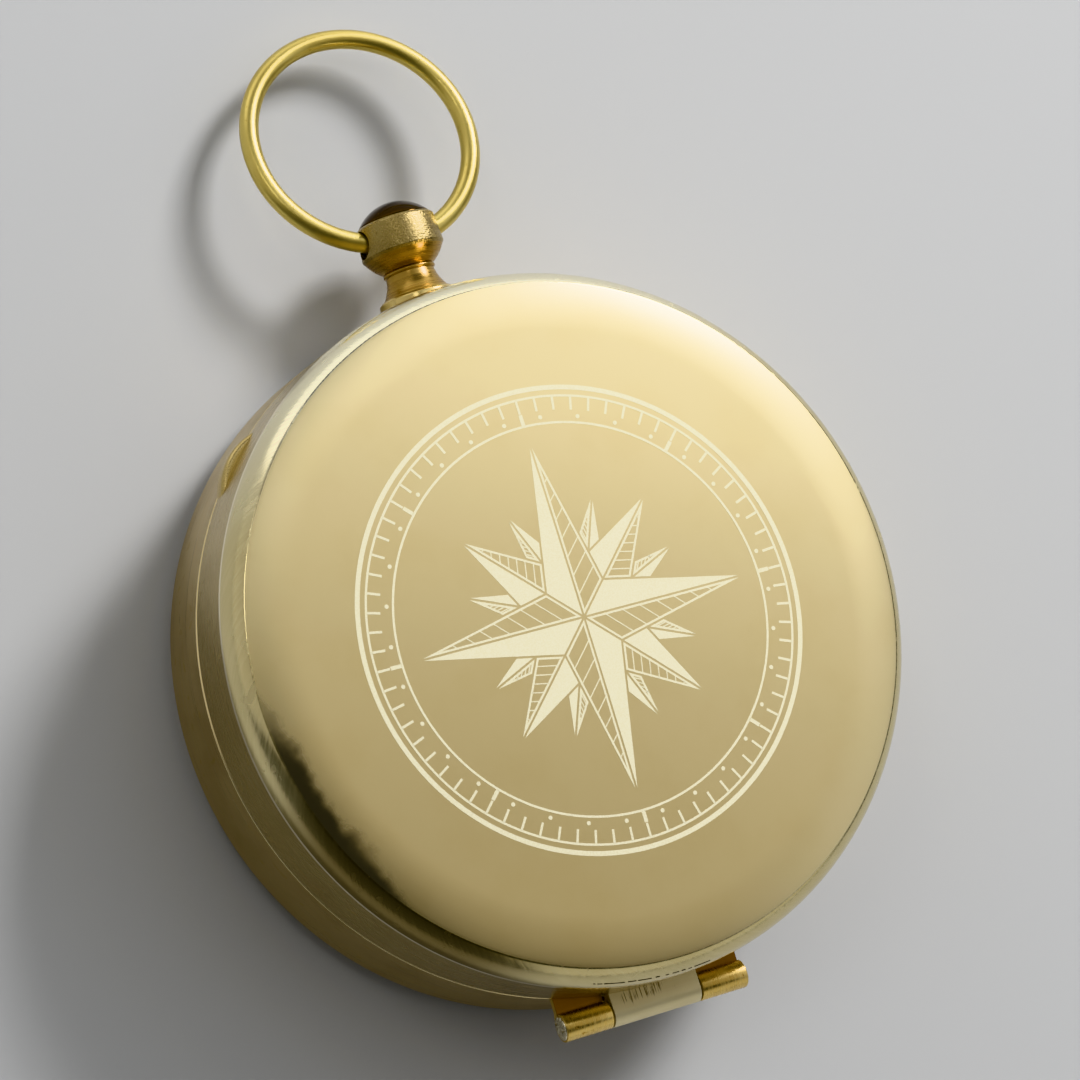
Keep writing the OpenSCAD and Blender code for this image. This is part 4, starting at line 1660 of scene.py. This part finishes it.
@dataclass
class Pendant:
    """The turned pendant: collar, flared stem with cup and drum, domed cap, and the bow ring."""

    wall_y: float = 24.6
    collar_r: float = 2.8
    collar_y: float = 26.3
    foot_r: float = 2.45
    waist_r: float = 1.75
    waist_y: float = 28.1
    hollow: float = 0.15
    bead: float = 0.15
    drum_y: float = 29.4
    drum_end_r: float = 2.85
    drum_r: float = 3.0
    drum_top: float = 31.9
    broken: float = 0.2
    cap_r: float = 2.6
    cap_h: float = 1.35
    hole_r: float = 1.024
    hole_y: float = 30.65
    bow_r: float = 8.2
    wire_r: float = 0.7
    bow_place: Point = (0.0, 38.44, 2.476)
    bow_lean: float = 10.367
    edge: float = 0.05
    steps: int = 160

    def set_up(self, mesh: Net) -> Net:
        """Lays a piece that was turned about Z on the pendant's axis.

        Args:
            mesh: The turned mesh.

        Returns:
            The same mesh.
        """
        turn(mesh, -90.0, "X")
        shift(mesh, 0.0, 0.0, PENDANT_Z)
        return mesh

    def collar(self) -> Net:
        """Turns the collar that stands on the case's wall.

        Returns:
            The mesh.
        """
        outline = Section(0.0, self.wall_y).to(self.collar_r, self.wall_y)
        outline.to(self.collar_r, self.collar_y - self.broken)
        outline.to(self.collar_r - self.broken, self.collar_y)
        mesh = outline.to(0.0, self.collar_y).turned(self.steps)
        break_edges(mesh, self.edge)
        return self.set_up(mesh)

    def stem(self) -> Net:
        """Turns the stem with its cup and drum and bores it for the bow.

        Returns:
            The mesh.
        """
        chord = math.hypot(self.foot_r - self.waist_r, self.waist_y - self.collar_y)
        cup = self.drum_y - self.waist_y
        rise = (self.drum_end_r**2 - self.waist_r**2 + cup**2) / (2 * cup)
        outline = Section(0.0, self.collar_y - self.edge).to(self.foot_r, self.collar_y - self.edge)
        outline.to(self.foot_r, self.collar_y)
        flare = chord_rise(chord / 2, self.hollow)
        outline.arc_to(self.waist_r, self.waist_y - self.bead, -flare, steps=14)
        outline.arc_to(self.waist_r, self.waist_y + self.bead, self.bead, steps=10)
        outline.arc_to(self.drum_end_r, self.drum_y, math.hypot(self.waist_r, rise), steps=18)
        outline.to(self.drum_r, self.drum_y + self.broken).to(self.drum_end_r, self.drum_top - self.broken)
        outline.to(self.drum_end_r - self.broken, self.drum_top).to(0.0, self.drum_top)
        mesh = outline.turned(steps=200)
        lowest = self.drum_y - self.edge
        drum = [e for e in sharp_edges(mesh, 20.0) if min(v.co.z for v in e.verts) > lowest]
        bevel(mesh, drum, self.edge, segments=3)
        cutter = bmesh.new()
        across = Matrix.Translation((0.0, 0.0, self.hole_y)) @ Matrix.Rotation(math.pi / 2, 4, "Y")
        bmesh.ops.create_cone(cutter, cap_ends=True, segments=96, radius1=self.hole_r, radius2=self.hole_r,
                              depth=self.drum_r * 3, matrix=across)
        return self.set_up(carve(mesh, cutter))

    def dome(self) -> Net:
        """Turns the domed cap.

        Returns:
            The mesh.
        """
        low = self.drum_top - self.edge
        outline = Section(0.0, low).to(self.cap_r, low).to(self.cap_r, self.drum_top + self.edge)
        bend = chord_rise(self.cap_r, self.cap_h - self.edge)
        outline.arc_to(0.0, self.drum_top + self.cap_h, bend, steps=28)
        return self.set_up(outline.turned(self.steps))

    def bow(self) -> Net:
        """Bends the wire into the closed ring and leans it back.

        Returns:
            The mesh.
        """
        mesh = bmesh.new()
        across = Matrix.Translation((self.bow_r, 0.0, 0.0)) @ Matrix.Rotation(math.pi / 2, 4, "X")
        bmesh.ops.create_circle(mesh, segments=40, radius=self.wire_r, matrix=across)
        bmesh.ops.spin(mesh, geom=mesh.verts[:] + mesh.edges[:], cent=(0.0, 0.0, 0.0), axis=(0.0, 0.0, 1.0),
                       angle=math.tau, steps=240, use_merge=True)
        bmesh.ops.remove_doubles(mesh, verts=mesh.verts, dist=MERGE)
        bmesh.ops.recalc_face_normals(mesh, faces=mesh.faces)
        turn(mesh, -self.bow_lean, "X")
        shift(mesh, *self.bow_place)
        return mesh

    def zone(self, face: bpy.types.MeshPolygon) -> int:
        """Tells whether a face of the stem is polished or satin.

        Args:
            face: A face of the finished piece, in metres.

        Returns:
            0 for the stem and cup, 1 for the drum.
        """
        return 1 if face.center.y > (self.drum_y + self.edge) * MM else 0

    def build(self) -> None:
        """Makes the collar, the stem, the cap and the bow."""
        fit(self.collar(), "pendant_collar_ring", Body.CASE, [COLLAR], "pendant_collar")
        fit(self.stem(), "pendant_stem", Body.CASE, [FLARE, DRUM], "pendant", zone=self.zone)
        fit(self.dome(), "pendant_dome", Body.CASE, [DOME_PAINTED_DARK_REFLECTION], "pendant_cap")
        fit(self.bow(), "bow_wire", Body.BOW, [BOW], "bow_ring")


def lettering(text: str, size: float) -> Net:
    """Draws plain numbers or compass letters flat, centred on the middle.

    Args:
        text: What is drawn.
        size: Height of the type.

    Returns:
        The flat mesh.
    """
    curve = bpy.data.curves.new("type", "FONT")
    curve.body = text
    curve.size = size
    curve.align_x = "CENTER"
    curve.align_y = "CENTER"
    holder = link("type", curve)
    data = bpy.data.meshes.new_from_object(holder)
    mesh = bmesh.new()
    mesh.from_mesh(data)
    for used, store in ((holder, bpy.data.objects), (data, bpy.data.meshes), (curve, bpy.data.curves)):
        store.remove(used)
    return mesh


@dataclass
class Dial:
    """The print on the silvered dial and the filled marks on the degree ring."""

    rose: WindRose = WindRose(long_ray=11.2, cross_ray=8.8, small_ray=7.7, waist=2.7, line=0.14, hatches=7)
    rings: tuple[float, float] = (11.8, 15.3)
    ring_line: float = 0.1
    ticks: int = 72
    tick_length: float = 0.4
    tick_w: float = 0.12
    top: float = 2.0
    print_t: float = 0.02
    letter_r: float = 13.7
    letter_h: float = 2.6
    number_r: float = 18.45
    number_h: float = 1.3
    ring_in: float = 19.6
    ring_out: float = 21.0
    ring_low: float = 2.5
    ring_high: float = 3.2
    marks: int = 180
    mark_w: float = 0.11
    bold: float = 1.5
    long_share: float = 0.92
    short_share: float = 0.5

    def lay(self, mesh: Net, name: str, finish: Finish) -> None:
        """Prints flat artwork on the dial.

        Args:
            mesh: The flat artwork.
            name: The piece's name.
            finish: Its finish.
        """
        raise_art(mesh, self.print_t * 2)
        shift(mesh, 0.0, 0.0, self.top + self.print_t)
        fit(mesh, name, Body.CASE, [finish])

    def words(self) -> Net:
        """Sets the four letters and the numbers of the degrees round the dial.

        Returns:
            The flat mesh.
        """
        mesh = bmesh.new()
        sets = [(letter, 90.0 * place, self.letter_r, self.letter_h) for place, letter in enumerate("NESW")]
        sets += [(str(angle), float(angle), self.number_r, self.number_h) for angle in range(0, 360, 30)]
        for text, degrees, radius, size in sets:
            drawn = lettering(text, size)
            bmesh.ops.transform(drawn, verts=drawn.verts,
                                matrix=about_z(-degrees) @ Matrix.Translation((0.0, radius, 0.0)))
            add_to(mesh, drawn)
        return mesh

    def ring_marks(self) -> Net:
        """Cuts the degree marks into the slope of the ring.

        Returns:
            The mesh.
        """
        mesh = bmesh.new()
        run, rise = self.ring_out - self.ring_in, self.ring_high - self.ring_low
        tilt = Matrix.Rotation(-math.atan2(rise, run), 4, "Y")
        for index in range(self.marks):
            share = self.long_share if index % 5 == 0 else self.short_share
            width = self.mark_w * (self.bold if index % 15 == 0 else 1.0)
            middle = (self.ring_out - run * share / 2, 0.0, self.ring_high - rise * share / 2)
            place = about_z(90.0 + index * 360.0 / self.marks) @ Matrix.Translation(middle) @ tilt
            add_box(mesh, place, (math.hypot(run, rise) * share, width, self.print_t * 2))
        return mesh

    def build(self) -> None:
        """Makes the dial's rose, rings, letters and numbers and the ring's marks."""
        self.lay(self.rose.draw(), "dial_rose", RED)
        rings = bmesh.new()
        for radius in self.rings:
            draw_band(rings, radius, self.ring_line)
        draw_marks(rings, self.rings[-1], self.rings[-1] + self.tick_length, self.tick_w, self.ticks)
        self.lay(rings, "dial_rings", INK)
        self.lay(self.words(), "dial_letters", INK)
        fit(self.ring_marks(), "degree_marks", Body.CASE, [FILLED])


@dataclass(frozen=True)
class Softbox:
    """A soft rectangular light that faces the compass."""

    name: str
    towards: Point
    distance: float
    size: tuple[float, float]
    glow: float
    color: Color
    overhead: bool = True
    power: float = 4.0

    def hang(self) -> None:
        """Hangs the light."""
        data = bpy.data.lights.new(self.name, "AREA")
        data.shape = "RECTANGLE"
        data.size, data.size_y = self.size
        data.energy = self.glow * self.size[0] * self.size[1] * self.power
        data.color = self.color
        aim = Vector(self.towards).normalized()
        side = Vector((1.0, 0.0, 0.0)) if self.overhead else Vector((0.0, 0.0, 1.0)).cross(aim)
        side = (side - aim * side.dot(aim)).normalized()
        facing = Matrix((side, aim.cross(side), aim)).transposed()
        link(self.name, data).matrix_world = Matrix.Translation(aim * self.distance) @ facing.to_4x4()


@dataclass
class Studio:
    """The pale floor, the soft lights and the camera."""

    place: Point = (-0.125619, -0.028069, 0.293086)
    turn: Point = (13.4774, -21.0642, -18.4145)
    lens: float = 150.23
    sensor: float = 36.0
    clip: tuple[float, float] = (0.01, 20.0)
    floor_size: float = 3.0
    floor_drop: float = 1.45
    floor_color: Color = (0.60, 0.61, 0.63)
    floor_rough: float = 0.75
    sky: Color = (0.60, 0.63, 0.68)
    sky_glow: float = 0.10
    horizon_glow: float = 0.32
    sky_clear: float = 0.72
    tones: str = "Khronos PBR Neutral"
    boxes: tuple[Softbox, ...] = (
        Softbox("face_box", (0.36, 0.42, 0.83), 0.85, (0.85, 0.42), 0.445, (0.93, 1.0, 1.12)),
        Softbox("wide_box", (0.53, 0.03, 0.85), 0.95, (1.00, 0.95), 0.275, (1.0, 0.90, 0.71)),
        Softbox("left_top", (-0.20, 0.26, 0.94), 0.90, (0.60, 0.40), 0.23, (1.0, 0.95, 0.80)),
        Softbox("right_fill", (0.74, -0.08, 0.67), 0.90, (0.45, 0.90), 0.23, (0.88, 1.0, 1.25)),
        Softbox("key", (0.72, 0.55, 0.60), 0.95, (0.24, 0.24), 35.0, (1.0, 0.985, 0.96)),
        Softbox("back_wall", (0.10, 0.96, 0.26), 0.95, (1.30, 0.48), 0.85, (1.0, 0.98, 0.90),
                overhead=False),
        Softbox("corner_strip", (-0.38, 0.37, 0.85), 0.90, (0.12, 0.26), 2.4, (1.0, 0.98, 0.92)),
        Softbox("left_wall", (-0.71, 0.535, 0.454), 0.90, (1.25, 0.95), 0.34, (1.0, 0.97, 0.90),
                overhead=False),
        Softbox("front_fill", (0.38, -0.86, 0.34), 0.90, (1.10, 0.60), 0.34, (1.0, 0.97, 0.86),
                overhead=False),
    )

    def floor(self) -> None:
        """Lays the floor just low enough for the lid to lie open above it."""
        mesh = bmesh.new()
        bmesh.ops.create_grid(mesh, x_segments=1, y_segments=1, size=self.floor_size / 2,
                              matrix=Matrix.Translation((0.0, 0.0, -self.floor_drop * MM)))
        data = bpy.data.meshes.new("floor")
        mesh.to_mesh(data)
        mesh.free()
        piece = link("floor", data)
        shader = Shader("pale_floor")
        shader.set(Base_Color=self.floor_color, Roughness=self.floor_rough)
        data.materials.append(shader.material)

    def surroundings(self) -> None:
        """Lights the room dimly, brighter at the horizon than overhead."""
        world = bpy.data.worlds.new("studio")
        world.use_nodes = True
        tree = world.node_tree
        split = tree.nodes.new("ShaderNodeSeparateXYZ")
        tree.links.new(tree.nodes.new("ShaderNodeTexCoord").outputs["Generated"], split.inputs["Vector"])
        fade = tree.nodes.new("ShaderNodeMapRange")
        tree.links.new(split.outputs["Z"], fade.inputs["Value"])
        fade.inputs["From Max"].default_value = self.sky_clear
        fade.inputs["To Min"].default_value = self.horizon_glow
        fade.inputs["To Max"].default_value = self.sky_glow
        back = tree.nodes["Background"]
        back.inputs["Color"].default_value = (*self.sky, 1.0)
        tree.links.new(fade.outputs["Result"], back.inputs["Strength"])
        bpy.context.scene.world = world

    def camera(self) -> None:
        """Sets the camera at the photograph's viewing angle."""
        data = bpy.data.cameras.new("camera")
        data.lens = self.lens
        data.sensor_width = self.sensor
        data.clip_start, data.clip_end = self.clip
        camera = link("camera", data)
        camera.location = self.place
        camera.rotation_euler = [math.radians(a) for a in self.turn]
        bpy.context.scene.camera = camera

    def build(self) -> None:
        """Makes the floor, the lights, the surroundings and the camera."""
        self.floor()
        for box in self.boxes:
            box.hang()
        bpy.context.scene.view_settings.view_transform = self.tones
        self.surroundings()
        self.camera()


def dress_nodes() -> None:
    """Gives every node that stays as it was packed its finish."""
    for node, finish in (
        ("case_sleeve", SLEEVE), ("glass", CRYSTAL), ("glass_spring_ring", WIRE), ("dial_plate", SILVERED),
        ("degree_ring", DEGREES), ("dial_screws", SCREWS), ("pivot_post", POST), ("pivot_pin", STEEL),
        ("needle", NEEDLE), ("needle_cap", CAP), ("needle_jewel", JEWEL), ("balance_weight", CLIP),
        ("pendant_screw", SCREWS),
    ):
        dress(node, finish)


def main() -> None:
    """Builds the compass and its studio."""
    logging.basicConfig(level=logging.INFO, format="%(name)s: %(message)s")
    Studio().build()
    dress_nodes()
    lid = Lid()
    for part in (Case(), lid, Engraving(lid), Hinge(), Pendant(), Dial()):
        part.build()


if __name__ == "__main__":
    main()
